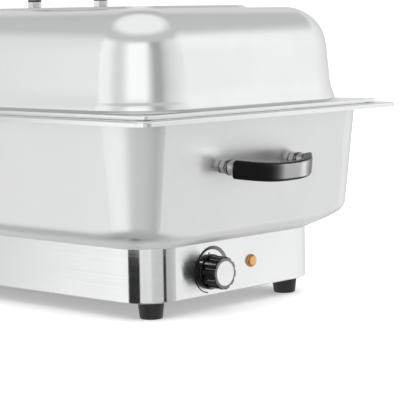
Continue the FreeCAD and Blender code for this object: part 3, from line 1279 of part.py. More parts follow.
def check():
    """Stops if any object failed or any sub-part has no sound solid."""
    document.recompute()
    faults = [item.Name for item in document.Objects if {"Invalid", "Error"} & set(item.State)]
    for piece in pieces:
        if piece.Shape.isNull() or not piece.Shape.isValid() or not piece.Shape.Solids:
            faults.append(piece.Label + " has no sound solid")
    if faults:
        raise RuntimeError("; ".join(faults))


def write():
    os.makedirs("parts", exist_ok=True)
    for piece in pieces:
        piece.Shape.exportStep(f"parts/{piece.Label}.step")
        box = piece.Shape.BoundBox
        print(f"{piece.Label}: {len(piece.Shape.Solids)} solid, {piece.Shape.Volume:.0f} mm3, "
              f"z {box.ZMin:.1f} to {box.ZMax:.1f}")


build()
check()
write()
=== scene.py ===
"""Electric food warmer tray: surface finishes, printed heat scale and studio."""

import math

import bmesh
import bpy
from bpy.props import FloatProperty, FloatVectorProperty, PointerProperty
from bpy.types import Operator, Panel, PropertyGroup
from mathutils import Matrix, Vector


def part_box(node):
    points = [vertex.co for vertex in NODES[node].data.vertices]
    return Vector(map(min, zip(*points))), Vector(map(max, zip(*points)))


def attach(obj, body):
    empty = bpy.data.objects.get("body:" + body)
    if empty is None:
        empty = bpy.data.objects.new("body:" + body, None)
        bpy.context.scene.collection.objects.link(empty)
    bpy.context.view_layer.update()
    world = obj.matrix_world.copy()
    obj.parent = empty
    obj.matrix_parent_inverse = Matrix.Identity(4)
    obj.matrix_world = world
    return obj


bl_info = {
    "name": "Electric food warmer tray",
    "version": (1, 0, 0),
    "blender": (4, 5, 0),
    "location": "3D View > Sidebar > Food warmer",
    "description": "Finishes, printed marks and studio for a food warmer with a domed lid",
    "category": "Object",
}

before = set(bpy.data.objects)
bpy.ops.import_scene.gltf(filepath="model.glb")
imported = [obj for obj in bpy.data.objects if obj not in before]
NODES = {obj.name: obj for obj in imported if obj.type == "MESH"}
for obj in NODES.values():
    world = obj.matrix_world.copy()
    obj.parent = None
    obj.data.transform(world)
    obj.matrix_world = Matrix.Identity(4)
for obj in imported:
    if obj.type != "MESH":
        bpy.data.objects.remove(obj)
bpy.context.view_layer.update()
FLOOR = 0.0
PANEL_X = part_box("base_band")[1].x
DISC_LOW, DISC_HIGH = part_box("knob_cap")
KNOB_CENTRE = (DISC_LOW + DISC_HIGH) / 2

# Below this height the water pan is matt.
PAN_MATT_BELOW = 0.077


# --- properties ---------------------------------------------------------------


def colour(name, description, default):
    return FloatVectorProperty(name=name, description=description, subtype="COLOR", size=3,
                               min=0, max=1, default=default)


class WarmerSizes(PropertyGroup):
    scale_radius: FloatProperty(
        name="Scale radius", description="Outside radius of the printed heat scale at its cold end",
        default=0.0200, unit="LENGTH")
    scale_spread: FloatProperty(
        name="Scale spread", description="Growth of that radius towards the hot end",
        default=0.0072, unit="LENGTH")
    scale_cold: FloatProperty(
        name="Cold end", description="Width of the heat scale where it begins",
        default=0.0010, unit="LENGTH")
    scale_hot: FloatProperty(
        name="Hot end", description="Width of the heat scale where it ends",
        default=0.0048, unit="LENGTH")
    scale_start: FloatProperty(
        name="Scale start", description="Where the scale begins, clockwise from the top",
        default=math.radians(-176), subtype="ANGLE")
    scale_turn: FloatProperty(
        name="Scale turn", description="Where the scale starts to widen, clockwise from the top",
        default=math.radians(-60), subtype="ANGLE")
    scale_end: FloatProperty(
        name="Scale end", description="Where the scale ends, clockwise from the top",
        default=math.radians(74), subtype="ANGLE")
    mark_length: FloatProperty(
        name="Mark length", description="Length of the dash at the off position",
        default=0.0034, unit="LENGTH")
    mark_height: FloatProperty(
        name="Mark height", description="Height of that dash above the knob's centre",
        default=0.0172, unit="LENGTH")
    mark_shift: FloatProperty(
        name="Mark shift", description="Sideways place of that dash from the knob's centre",
        default=0.0006, unit="LENGTH")
    print_thickness: FloatProperty(
        name="Print thickness", description="Thickness of the printed ink",
        default=0.0001, unit="LENGTH")


class WarmerColours(PropertyGroup):
    steel: colour("Steel", "Polished stainless steel", (0.84, 0.845, 0.85))
    black: colour("Black plastic", "Handles and knob", (0.0012, 0.0012, 0.0014))
    rubber: colour("Rubber", "Feet", (0.014, 0.014, 0.015))
    lens: colour("Lens", "Pilot lamp lens", (0.90, 0.42, 0.04))
    ink: colour("Ink", "Cold end of the printed heat scale", (0.006, 0.006, 0.007))
    # The grey of the hot end is painted sheen: light mirrored by the glossy black ink, put into its
    # colour.
    ink_sheen: colour("Ink sheen", "Hot end of the printed heat scale", (0.24, 0.24, 0.245))


class StudioSettings(PropertyGroup):
    lens: FloatProperty(
        name="Focal length", description="Camera lens in millimetres",
        default=156.5, min=20, max=400)
    ceiling: FloatProperty(
        name="Ceiling", description="Brightness of the ceiling where steel mirrors it",
        default=0.62, min=0, max=10)
    overhead: FloatProperty(
        name="Overhead light", description="Brightness of the soft light from above",
        default=2.1, min=0, max=10)
    top_light: FloatProperty(
        name="Top light", description="Brightness straight above where steel mirrors it",
        default=1.0, min=0, max=10)
    floor_glow: FloatProperty(
        name="Floor glow", description="Light that the floor gives back in the shadow",
        default=0.22, min=0, max=1)


# --- node helpers -------------------------------------------------------------


class Wiring:
    """Adds nodes to a tree and sets or links their sockets."""

    def __init__(self, tree):
        self.tree = tree
        self.nodes = tree.nodes
        self.nodes.clear()

    def add(self, kind, **settings):
        node = self.nodes.new(kind)
        for name, value in settings.items():
            setattr(node, name, value)
        return node

    def link(self, start, end):
        self.tree.links.new(start, end)

    def feed(self, socket, value):
        """Sets a socket to a number or a colour, or links an output to it."""
        if isinstance(value, (int, float)):
            socket.default_value = value
        elif isinstance(value, tuple):
            socket.default_value = (*value, 1)
        else:
            self.link(value, socket)

    def place(self, source="Object"):
        return self.add("ShaderNodeTexCoord").outputs[source]

    def axes(self, source="Object"):
        """X, Y and Z of a texture coordinate."""
        parts = self.add("ShaderNodeSeparateXYZ")
        self.link(self.place(source), parts.inputs[0])
        return [parts.outputs[axis] for axis in "XYZ"]

    def noise(self, scale, vector=None, **values):
        """Noise over a vector, or over the object's own coordinates."""
        node = self.add("ShaderNodeTexNoise")
        self.link(self.place() if vector is None else vector, node.inputs["Vector"])
        self.feed(node.inputs["Scale"], scale)
        for name, value in values.items():
            node.inputs[name].default_value = value
        return node.outputs["Fac"]

    def math(self, operation, *values):
        node = self.add("ShaderNodeMath", operation=operation)
        for socket, value in zip(node.inputs, values):
            self.feed(socket, value)
        return node.outputs[0]

    def ramp(self, factor, stops):
        """A colour ramp of greys, or of colours, over (place, value) stops."""
        node = self.add("ShaderNodeValToRGB")
        points = node.color_ramp.elements
        while len(points) > 1:
            points.remove(points[-1])
        for index, (place, value) in enumerate(stops):
            point = points[0] if index == 0 else points.new(place)
            point.position = place
            point.color = (*value, 1) if isinstance(value, tuple) else (value, value, value, 1)
        self.link(factor, node.inputs["Fac"])
        return node.outputs["Color"]

    def spread(self, value, low, high, new_low, new_high):
        """Maps a value from one range to another and holds it at the ends."""
        node = self.add("ShaderNodeMapRange", clamp=True)
        self.link(value, node.inputs["Value"])
        for name, number in (("From Min", low), ("From Max", high),
                             ("To Min", new_low), ("To Max", new_high)):
            node.inputs[name].default_value = number
        return node.outputs["Result"]

    def mix(self, factor, first, second):
        """Blends two colours."""
        node = self.add("ShaderNodeMix", data_type="RGBA")
        sockets = {socket.name: socket for socket in node.inputs if socket.enabled}
        for name, value in (("Factor", factor), ("A", first), ("B", second)):
            self.feed(sockets[name], value)
        return next(socket for socket in node.outputs if socket.enabled)


def new_group(name, inputs, outputs):
    """A shader node group with its sockets, ready to be wired."""
    group = bpy.data.node_groups.new(name, "ShaderNodeTree")
    for label, kind, value in inputs:
        socket = group.interface.new_socket(name=label, in_out="INPUT", socket_type=kind)
        socket.default_value = value
    for label in outputs:
        group.interface.new_socket(name=label, in_out="OUTPUT", socket_type="NodeSocketFloat")
    wiring = Wiring(group)
    return group, wiring, wiring.add("NodeGroupInput"), wiring.add("NodeGroupOutput")


def build_grain():
    """Fine polishing lines: stretched noise that gives a height and a shade."""
    group, w, start, end = new_group(
        "polishing lines", [("Stretch", "NodeSocketVector", (1, 1, 1))], ["Height", "Shade"])
    stretched = w.add("ShaderNodeVectorMath", operation="MULTIPLY")
    w.link(w.place(), stretched.inputs[0])
    w.link(start.outputs["Stretch"], stretched.inputs[1])
    fine = w.noise(1.0, stretched.outputs[0], Detail=3, Roughness=0.6)
    w.link(fine, end.inputs["Height"])
    w.link(w.spread(fine, 0.3, 0.7, -1, 1), end.inputs["Shade"])
    return group


def build_handling():
    """Faint smears and hairline scratches that make the gloss uneven."""
    group, w, start, end = new_group(
        "handling marks",
        [("Roughness", "NodeSocketFloat", 0.2), ("Smears", "NodeSocketFloat", 0.04),
         ("Scratches", "NodeSocketFloat", 0.05), ("Lines", "NodeSocketFloat", 0.0)],
        ["Roughness", "Mask"])
    smeared = w.spread(w.noise(9, Detail=4, Distortion=0.7), 0.35, 0.75, 0, 1)
    turned = w.add("ShaderNodeMapping")
    turned.inputs["Rotation"].default_value = (0.4, 0.2, 0.9)
    turned.inputs["Scale"].default_value = (1, 0.35, 0.6)
    w.link(w.place(), turned.inputs["Vector"])
    scratch = w.add("ShaderNodeTexVoronoi", feature="DISTANCE_TO_EDGE")
    scratch.inputs["Scale"].default_value = 23
    w.link(turned.outputs["Vector"], scratch.inputs["Vector"])
    hair = w.spread(scratch.outputs["Distance"], 0.0, 0.004, 1, 0)
    rough = w.math("MULTIPLY_ADD", smeared, start.outputs["Smears"], start.outputs["Roughness"])
    rough = w.math("MULTIPLY_ADD", hair, start.outputs["Scratches"], rough)
    w.link(w.math("ADD", rough, start.outputs["Lines"]), end.inputs["Roughness"])
    w.link(smeared, end.inputs["Mask"])
    return group


def build_mould_grain():
    """The slight orange peel of moulded plastic and rubber, and a trace of dust."""
    group, w, start, end = new_group(
        "mould grain", [("Scale", "NodeSocketFloat", 900.0)], ["Height", "Shade"])
    w.link(w.noise(start.outputs["Scale"], Detail=2), end.inputs["Height"])
    w.link(w.spread(w.noise(60, Detail=5), 0.4, 0.8, 0, 1), end.inputs["Shade"])
    return group


GROUPS = {}


def group_node(wiring, maker):
    """Places a node group in a material, building it once."""
    if maker not in GROUPS:
        GROUPS[maker] = maker()
    return wiring.add("ShaderNodeGroup", node_tree=GROUPS[maker])


def new_material(name):
    material = bpy.data.materials.new(name)
    material.use_nodes = True
    w = Wiring(material.node_tree)
    out = w.add("ShaderNodeOutputMaterial")
    shader = w.add("ShaderNodeBsdfPrincipled")
    w.link(shader.outputs["BSDF"], out.inputs["Surface"])
    return material, w, shader


def add_bump(w, shader, height, strength, distance):
    bump = w.add("ShaderNodeBump")
    bump.inputs["Strength"].default_value = strength
    bump.inputs["Distance"].default_value = distance
    w.link(height, bump.inputs["Height"])
    w.link(bump.outputs["Normal"], shader.inputs["Normal"])


# Steel: tint of its grazing reflections, turn of its streaks as a share of a circle, its wear, and
# the near black of the painted shade in its joints.
EDGE_TINT = (0.76, 0.76, 0.76, 1)
STREAK_TURN = 0.25
SCRATCH_ROUGHNESS = 0.03
SMEAR_SHADE = 0.98
LINE_DEPTH = 0.0002
# Painted shade: the near black that darkens joints and grooves where shade falls.
JOINT_SHADE = (0.03, 0.03, 0.03)

# Plastic: depth of its peel, and what full dust adds to its colour and roughness.
PEEL_DEPTH = 0.0001
DUST_PALENESS = 0.02
DUST_ROUGHNESS = 0.12

# Matt steel: its metal share and added roughness, each with half the height that it fades over.
MATT_METAL, METAL_FADE = 0.62, 0.004
MATT_ROUGHNESS, ROUGHNESS_FADE = 0.22, 0.003


def steel(name, tint, roughness, stretch, lines, smears=0.03, brushed=0.0, uneven=0.25,
          matt_below=None, joints=None):
    """Steel: polishing lines along one way, smears and hairlines.

    Matt and greyer below a height if one is given. Joint shade stops give distance along X from
    the object's middle and brightness: 0 for painted shade in the joints, 1 for the full tint.
    """
    material, w, shader = new_material(name)
    shader.inputs["Metallic"].default_value = 1
    shader.inputs["Specular Tint"].default_value = EDGE_TINT
    shader.inputs["Anisotropic"].default_value = brushed
    shader.inputs["Anisotropic Rotation"].default_value = STREAK_TURN
    grain = group_node(w, build_grain)
    grain.inputs["Stretch"].default_value = stretch
    marks = group_node(w, build_handling)
    marks.inputs["Roughness"].default_value = roughness
    marks.inputs["Smears"].default_value = smears
    marks.inputs["Scratches"].default_value = SCRATCH_ROUGHNESS
    worn = w.math("MULTIPLY", grain.outputs["Shade"], roughness * uneven)
    bright = w.mix(marks.outputs["Mask"], tint, tuple(channel * SMEAR_SHADE for channel in tint))
    if matt_below is not None:
        height = w.axes()[2]
        low, high = matt_below - METAL_FADE, matt_below + METAL_FADE
        w.link(w.spread(height, low, high, MATT_METAL, 1), shader.inputs["Metallic"])
        low, high = matt_below - ROUGHNESS_FADE, matt_below + ROUGHNESS_FADE
        worn = w.math("ADD", worn, w.spread(height, low, high, MATT_ROUGHNESS, 0))
    # Painted shade: the tint darkens to near black at the joints, where shade falls.
    if joints:
        start, end = joints[0][0], joints[-1][0]
        away = w.spread(w.math("ABSOLUTE", w.axes()[0]), start, end, 0, 1)
        shades = [((spot - start) / (end - start), value) for spot, value in joints]
        bright = w.mix(w.ramp(away, shades), JOINT_SHADE, bright)
    w.link(worn, marks.inputs["Lines"])
    w.link(marks.outputs["Roughness"], shader.inputs["Roughness"])
    w.link(bright, shader.inputs["Base Color"])
    add_bump(w, shader, grain.outputs["Height"], lines, LINE_DEPTH)
    return material


def plastic(name, tint, roughness, peel=0.05, scale=900.0, dust=0.3, gloss=0.5):
    """Moulded plastic or rubber with a slight peel and a trace of dust."""
    material, w, shader = new_material(name)
    shader.inputs["Specular IOR Level"].default_value = gloss
    grain = group_node(w, build_mould_grain)
    grain.inputs["Scale"].default_value = scale
    pale = tuple(channel + DUST_PALENESS * dust for channel in tint)
    dull = roughness + DUST_ROUGHNESS * dust
    w.link(w.mix(grain.outputs["Shade"], tint, pale), shader.inputs["Base Color"])
    w.link(w.spread(grain.outputs["Shade"], 0, 1, roughness, dull), shader.inputs["Roughness"])
    add_bump(w, shader, grain.outputs["Height"], peel, PEEL_DEPTH)
    return material


def dress(material, *names):
    """Gives a material to whole CAD pieces."""
    for name in names:
        if name not in NODES:
            raise ValueError("no piece named " + name)
        mesh = NODES[name].data
        mesh.materials.clear()
        mesh.materials.append(material)


def handle_pieces(kind):
    return [f"{place}_handle_{kind}" for place in ("right", "left", "lid")]


# --- pieces -------------------------------------------------------------------


class WARMER_OT_sheet_steel(Operator):
    """Finish the lid, frame, pans and base in polished steel"""

    bl_idname = "warmer.sheet_steel"
    bl_label = "Sheet steel"

    def execute(self, context):
        tint = tuple(context.scene.warmer_colours.steel)
        dress(steel("polished lid steel", tint, 0.14, (60, 60, 9), 0.02), "lid_shell")
        dress(steel("polished frame steel", tint, 0.12, (8, 8, 90), 0.02), "top_frame")
        dress(steel("polished pan steel", tint, 0.38, (300, 300, 14), 0.006, smears=0.015,
                    uneven=0.04, matt_below=PAN_MATT_BELOW), "water_pan")
        dress(steel("food pan steel", tint, 0.20, (30, 30, 30), 0.02), "food_pan")
        dress(steel("brushed base steel", tint, 0.20, (4, 4, 1400), 0.03, brushed=0.95),
              "base_band")
        return {"FINISHED"}


class WARMER_OT_black_plastic(Operator):
    """Finish the grips, the knob and the gland in moulded black plastic"""

    bl_idname = "warmer.black_plastic"
    bl_label = "Black plastic"

    def execute(self, context):
        tint = tuple(context.scene.warmer_colours.black)
        dress(plastic("grip plastic", tint, 0.27, peel=0.08, scale=700, dust=0.05, gloss=0.14),
              *handle_pieces("grip"))
        dress(plastic("knob plastic", tint, 0.18, dust=0.1, gloss=0.25), "control_knob")
        dress(plastic("gland nylon", tint, 0.5), "gland_body", "gland_locknut", "gland_dome_nut")
        return {"FINISHED"}


class WARMER_OT_fittings(Operator):
    """Finish the nuts, ferrules, washers, screws and the knob's disc"""

    bl_idname = "warmer.fittings"
    bl_label = "Bright fittings"

    def execute(self, context):
        # Painted joint shade: stops of distance along X from the object's middle, and brightness.
        # Dark where nut, washer, ferrule and grip meet, which is painted shade in the grooves.
        foot, face = (corner.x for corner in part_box("right_handle_nuts"))
        nut_shade_stops = ((foot - 0.001, 0), (foot + 0.0005, 0.1), (foot + 0.002, 1),
                     (face - 0.0022, 1), (face - 0.0006, 0.1), (face + 0.001, 0))
        lip, grip = (corner.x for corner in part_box("right_handle_ferrules"))
        ferrule_shade_stops = ((lip, 0.1), (lip + 0.0006, 0.9), (lip + 0.0014, 1), (lip + 0.0016, 0),
                         (lip + 0.0023, 0), (lip + 0.0026, 1), (grip - 0.0030, 0.9),
                         (grip - 0.0010, 0.25), (grip, 0.1))
        even = (300, 300, 300)
        dress(steel("nut nickel", (0.54, 0.54, 0.53), 0.08, even, 0.05, joints=nut_shade_stops),
              "right_handle_nuts", "left_handle_nuts")
        dress(steel("ferrule nickel", (0.60, 0.60, 0.59), 0.10, even, 0.05, joints=ferrule_shade_stops),
              "right_handle_ferrules", "left_handle_ferrules")
        dress(steel("bright nickel", (0.74, 0.74, 0.73), 0.10, even, 0.05),
              "lid_handle_nuts", "lid_handle_ferrules")
        # The washers are near black so that they stand for the shaded groove between nut and
        # ferrule: painted shade.
        dress(plastic("washer groove shade", (0.03, 0.03, 0.03), 0.5), *handle_pieces("washers"))
        dress(steel("screw steel", (0.66, 0.66, 0.65), 0.22, (400, 400, 400), 0.08),
              *handle_pieces("screws"), "cover_screws", "foot_screws", "foot_washers", "foot_nuts",
              "thermostat_screws", "thermostat_shaft")
        dress(steel("spun disc", (0.98, 0.98, 0.98), 0.30, (900, 30, 900), 0.10), "knob_cap")
        return {"FINISHED"}


class WARMER_OT_feet(Operator):
    """Finish the feet in moulded rubber"""

    bl_idname = "warmer.feet"
    bl_label = "Feet"

    def execute(self, context):
        tint = tuple(context.scene.warmer_colours.rubber)
        dress(plastic("foot rubber", tint, 0.55, peel=0.15, scale=500, dust=0.8),
              "foot_front_right", "foot_back_right", "foot_front_left", "foot_back_left")
        return {"FINISHED"}


class WARMER_OT_pilot_lamp(Operator):
    """Finish the pilot lamp: amber lens in a brown holder"""

    bl_idname = "warmer.pilot_lamp"
    bl_label = "Pilot lamp"

    def execute(self, context):
        dress(self.amber(tuple(context.scene.warmer_colours.lens)), "lamp_lens")
        dress(plastic("lamp holder plastic", (0.35, 0.13, 0.02), 0.3), "lamp_holder")
        return {"FINISHED"}

    def amber(self, side):
        """Clear amber: orange at the side, a painted shade ring of deep brown round the rim, and
        paler on the face.
        """
        material, w, shader = new_material("amber lens")
        shade_ring, face = (0.17, 0.045, 0.015), (0.60, 0.35, 0.10)
        depth = w.spread(w.axes()[0], PANEL_X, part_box("lamp_lens")[1].x, 0, 1)
        # The deep brown ring is painted shade: the shadow inside the lens's wall.
        clear = w.ramp(depth, ((0, side), (0.38, side), (0.5, shade_ring), (0.86, shade_ring), (0.99, face)))
        cloud = w.noise(420)
        w.link(w.mix(w.spread(cloud, 0.4, 0.65, 0, 0.5), clear, side), shader.inputs["Base Color"])
        w.link(w.spread(cloud, 0.3, 0.7, 0.08, 0.16), shader.inputs["Roughness"])
        shader.inputs["Coat Weight"].default_value = 0.5
        return material


class WARMER_OT_inner_works(Operator):
    """Finish the element, thermostat, shield, block, leads and cover"""

    bl_idname = "warmer.inner_works"
    bl_label = "Inner works"

    def execute(self, context):
        dress(steel("tinted sheath", (0.42, 0.38, 0.33), 0.35, (200, 200, 200), 0.1),
              "heating_element", "sensor_bulb", "capillary_tube")
        dress(steel("plated sheet", (0.62, 0.62, 0.61), 0.38, (40, 40, 40), 0.1),
              "bottom_cover", "heat_shield", "clamp_bars", "clamp_nuts", "shield_nuts",
              "pan_studs", "lamp_clip", "earth_stud", "earth_nut", "terminal_screws")
        dress(plastic("ceramic", (0.78, 0.75, 0.68), 0.6), "element_terminals")
        dress(plastic("moulding powder", (0.62, 0.58, 0.48), 0.5),
              "thermostat_body", "thermal_cutout")
        dress(plastic("block polyamide", (0.76, 0.74, 0.66), 0.45), "terminal_block")
        dress(plastic("brown insulation", (0.10, 0.035, 0.012), 0.45), "lead_live")
        dress(plastic("glass braid", (0.55, 0.55, 0.53), 0.8, peel=0.4, scale=1500),
              "lead_control", "lead_heater")
        dress(plastic("blue insulation", (0.012, 0.07, 0.34), 0.45), "lead_neutral")
        dress(self.earth_insulation(), "lead_earth")
        return {"FINISHED"}

    def earth_insulation(self):
        """Green insulation with a yellow stripe along its upper side."""
        material, w, shader = new_material("green and yellow insulation")
        green, yellow = (0.02, 0.20, 0.04), (0.75, 0.55, 0.03)
        grain = group_node(w, build_mould_grain)
        stripe = w.spread(w.axes("Normal")[2], 0.45, 0.55, 0, 1)
        w.link(w.mix(stripe, green, yellow), shader.inputs["Base Color"])
        w.link(w.spread(grain.outputs["Shade"], 0, 1, 0.42, 0.5), shader.inputs["Roughness"])
        add_bump(w, shader, grain.outputs["Height"], 0.05, PEEL_DEPTH)
        return material


class WARMER_OT_heat_scale(Operator):
    """Print the heat scale on the panel: a crescent that widens clockwise, and a dash"""

    bl_idname = "warmer.heat_scale"
    bl_label = "Heat scale"

    STEPS_ROUND = 240
    DASH_SLIMNESS = 0.25
    DASH_ROUNDING = 0.0003

    # Where the painted sheen turns the ink grey, along Y from the knob's centre.
    FADE_START, FADE_END = -0.006, 0.018

    def execute(self, context):
        sizes = context.scene.warmer_sizes
        scale = self.crescent(sizes)
        ink = self.ink(context.scene.warmer_colours)
        for piece in (scale, self.mark(sizes)):
            piece.data.materials.append(ink)
            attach(piece, "base")
        return {"FINISHED"}

    def crescent(self, sizes):
        bpy.ops.object.select_all(action="DESELECT")
        bpy.ops.mesh.primitive_circle_add(vertices=self.STEPS_ROUND, radius=sizes.scale_radius,
                                          location=(0, 0, 0))
        scale = bpy.context.object
        scale.name = "heat_scale"
        bpy.ops.object.mode_set(mode="EDIT")
        bpy.ops.mesh.select_all(action="SELECT")
        bpy.ops.mesh.extrude_edges_move()
        mesh = bmesh.from_edit_mesh(scale.data)
        for spot in mesh.verts:
            angle = math.atan2(spot.co.x, spot.co.y)
            turned = self.share(angle, sizes.scale_turn, sizes.scale_end)
            radius = sizes.scale_radius + sizes.scale_spread * turned ** 2 * (3 - 2 * turned)
            if spot.select:
                along = self.share(angle, sizes.scale_start, sizes.scale_end)
                radius -= sizes.scale_cold + (sizes.scale_hot - sizes.scale_cold) * along ** 2
            spot.co = spot.co.normalized() * radius
        outside = []
        for face in mesh.faces:
            middle = face.calc_center_median()
            if not sizes.scale_start < math.atan2(middle.x, middle.y) < sizes.scale_end:
                outside.append(face)
        bmesh.ops.delete(mesh, geom=outside, context="FACES")
        bmesh.update_edit_mesh(scale.data)
        self.thicken((0, 0, sizes.print_thickness))
        stand = Matrix(((0, 0, 1), (1, 0, 0), (0, 1, 0))).to_4x4()
        centre = Vector((PANEL_X, KNOB_CENTRE.y, KNOB_CENTRE.z))
        scale.data.transform(Matrix.Translation(centre) @ stand)
        return scale

    def share(self, angle, start, end):
        """How far an angle is from start to end, from 0 to 1."""
        return min(max((angle - start) / (end - start), 0), 1)

    def thicken(self, way):
        """Gives the flat print in edit mode its thickness and leaves edit mode."""
        bpy.ops.mesh.select_all(action="SELECT")
        bpy.ops.mesh.extrude_region_move(TRANSFORM_OT_translate={"value": way})
        bpy.ops.mesh.select_all(action="SELECT")
        bpy.ops.mesh.normals_make_consistent(inside=False)
        bpy.ops.object.mode_set(mode="OBJECT")

    def mark(self, sizes):
        """The short dash that shows the knob's off position."""
        bpy.ops.object.select_all(action="DESELECT")
        middle = (PANEL_X, KNOB_CENTRE.y + sizes.mark_shift, KNOB_CENTRE.z + sizes.mark_height)
        bpy.ops.mesh.primitive_plane_add(size=sizes.mark_length, location=middle,
                                         rotation=(0, math.pi / 2, 0))
        dash = bpy.context.object
        dash.name = "scale_mark"
        bpy.ops.object.transform_apply(location=True, rotation=True, scale=True)
        bpy.ops.object.mode_set(mode="EDIT")
        bpy.ops.mesh.select_all(action="SELECT")
        bpy.ops.transform.resize(value=(1, 1, self.DASH_SLIMNESS), center_override=middle)
        bpy.ops.mesh.bevel(offset=self.DASH_ROUNDING, segments=3, affect="VERTICES")
        self.thicken((sizes.print_thickness, 0, 0))
        return dash

    def ink(self, colours):
        """Black screen ink with a painted sheen that turns it grey towards the hot end."""
        material, w, shader = new_material("scale ink")
        start, end = KNOB_CENTRE.y + self.FADE_START, KNOB_CENTRE.y + self.FADE_END
        # Painted sheen: grey mixed into the black ink towards the hot end.
        sheen = w.spread(w.axes()[1], start, end, 0, 1)
        speck = w.noise(4000)
        sheen = w.math("SUBTRACT", sheen, w.math("MULTIPLY", speck, 0.15))
        w.link(w.mix(sheen, tuple(colours.ink), tuple(colours.ink_sheen)),
               shader.inputs["Base Color"])
        w.link(w.spread(speck, 0.3, 0.7, 0.35, 0.5), shader.inputs["Roughness"])
        return material


# --- studio -------------------------------------------------------------------

CAMERA_SPOT = Vector((1.3036, -1.2211, 0.2790))
CAMERA_RIGHT = Vector((0.7368, 0.6760, -0.0153))
CAMERA_UP = Vector((-0.0618, 0.0899, 0.9940))

SENSOR_WIDTH = 36
CLIP_END = 100

# Softboxes for the black pieces: name, pieces, the spot they aim at, bearing and tilt in degrees
# and distance from there, width and height, and radiance.
GRIPS = ("right_handle_grip", "left_handle_grip", "lid_handle_grip")
KNOB = ("control_knob",)
GRIP_SPOT = (0.285, 0.0, 0.14)
SOFTBOXES = (
    ("grip box", GRIPS, GRIP_SPOT, 60, 5, 0.5, (0.27, 0.45), 22.0),
    ("grip fade", GRIPS, GRIP_SPOT, 38, 5, 0.5, (0.13, 0.45), 8.0),
    ("grip dusk", GRIPS, GRIP_SPOT, 24, 5, 0.5, (0.11, 0.45), 2.0),
    ("end box", GRIPS, GRIP_SPOT, 81, 5, 0.5, (0.14, 0.45), 4.0),
    ("knob box", KNOB, (0.248, -0.042, 0.039), 56, 2, 0.4, (0.14, 0.24), 8.0),
    ("knob spark", KNOB, (0.238, -0.042, 0.039), 204, 42, 0.3, (0.02, 0.02), 70.0),
)

# Black cards: name, and the two ends of each on the floor plan. All have the same heights.
FLAGS = (
    ("wide_card", (0.1968, -0.150), (0.2272, -0.150)),
    ("narrow_card", (0.252, -0.0985), (0.252, -0.0915)),
)
FLAG_HEIGHTS = (-0.3, 0.065)

FLOOR_SIZE = 30
BACKDROP = 1.05

# Brightness of the studio round the object, by compass bearing in degrees.
HIGH_BAND = (
    (0, 0.62), (12, 0.78), (40, 0.95), (48, 1.01), (52, 1.08), (62, 1.0), (212, 0.84),
    (221, 0.86), (223, 0.97), (231, 1.07), (247, 1.02), (255, 0.92), (262, 0.79), (271, 0.77),
    (277, 0.82), (284, 1.0), (292, 1.16), (322, 1.13), (332, 0.72), (340, 0.44), (352, 0.43),
    (360, 0.62))
BASE_BAND = (
    (0, 0.72), (4, 0.46), (9, 0.40), (17, 0.44), (30, 0.56), (42, 0.66), (46, 0.85), (50, 1.03),
    (150, 1.0), (219, 0.60), (221, 0.70), (222, 0.87), (223, 1.02), (224, 1.20), (258, 1.04),
    (326, 1.14), (330, 0.76), (360, 0.72))
LOW_BAND = (
    (0, 0.62), (8, 0.58), (16, 0.50), (24, 0.44), (36, 0.44), (42, 0.66), (46, 1.04),
    (48.5, 1.30), (51, 1.26), (54, 1.08), (90, 1.15), (150, 0.95), (217, 0.88), (220, 1.03),
    (222, 1.12), (232, 1.06), (255, 1.24), (290, 1.26), (298, 0.58), (308, 0.46), (320, 0.54),
    (335, 0.64), (345, 0.68), (360, 0.62))
GROUND = (0.5, 0.5, 0.5)

# The Z of a direction where one part of the studio gives way to the next.
GROUND_EDGE = (-0.40, -0.72)
LOW_EDGE = (-0.20, -0.17)
HIGH_EDGE = (0.0, 0.06)
CEILING_EDGE = (0.48, 0.62)
TOP_EDGE = (0.75, 0.88)


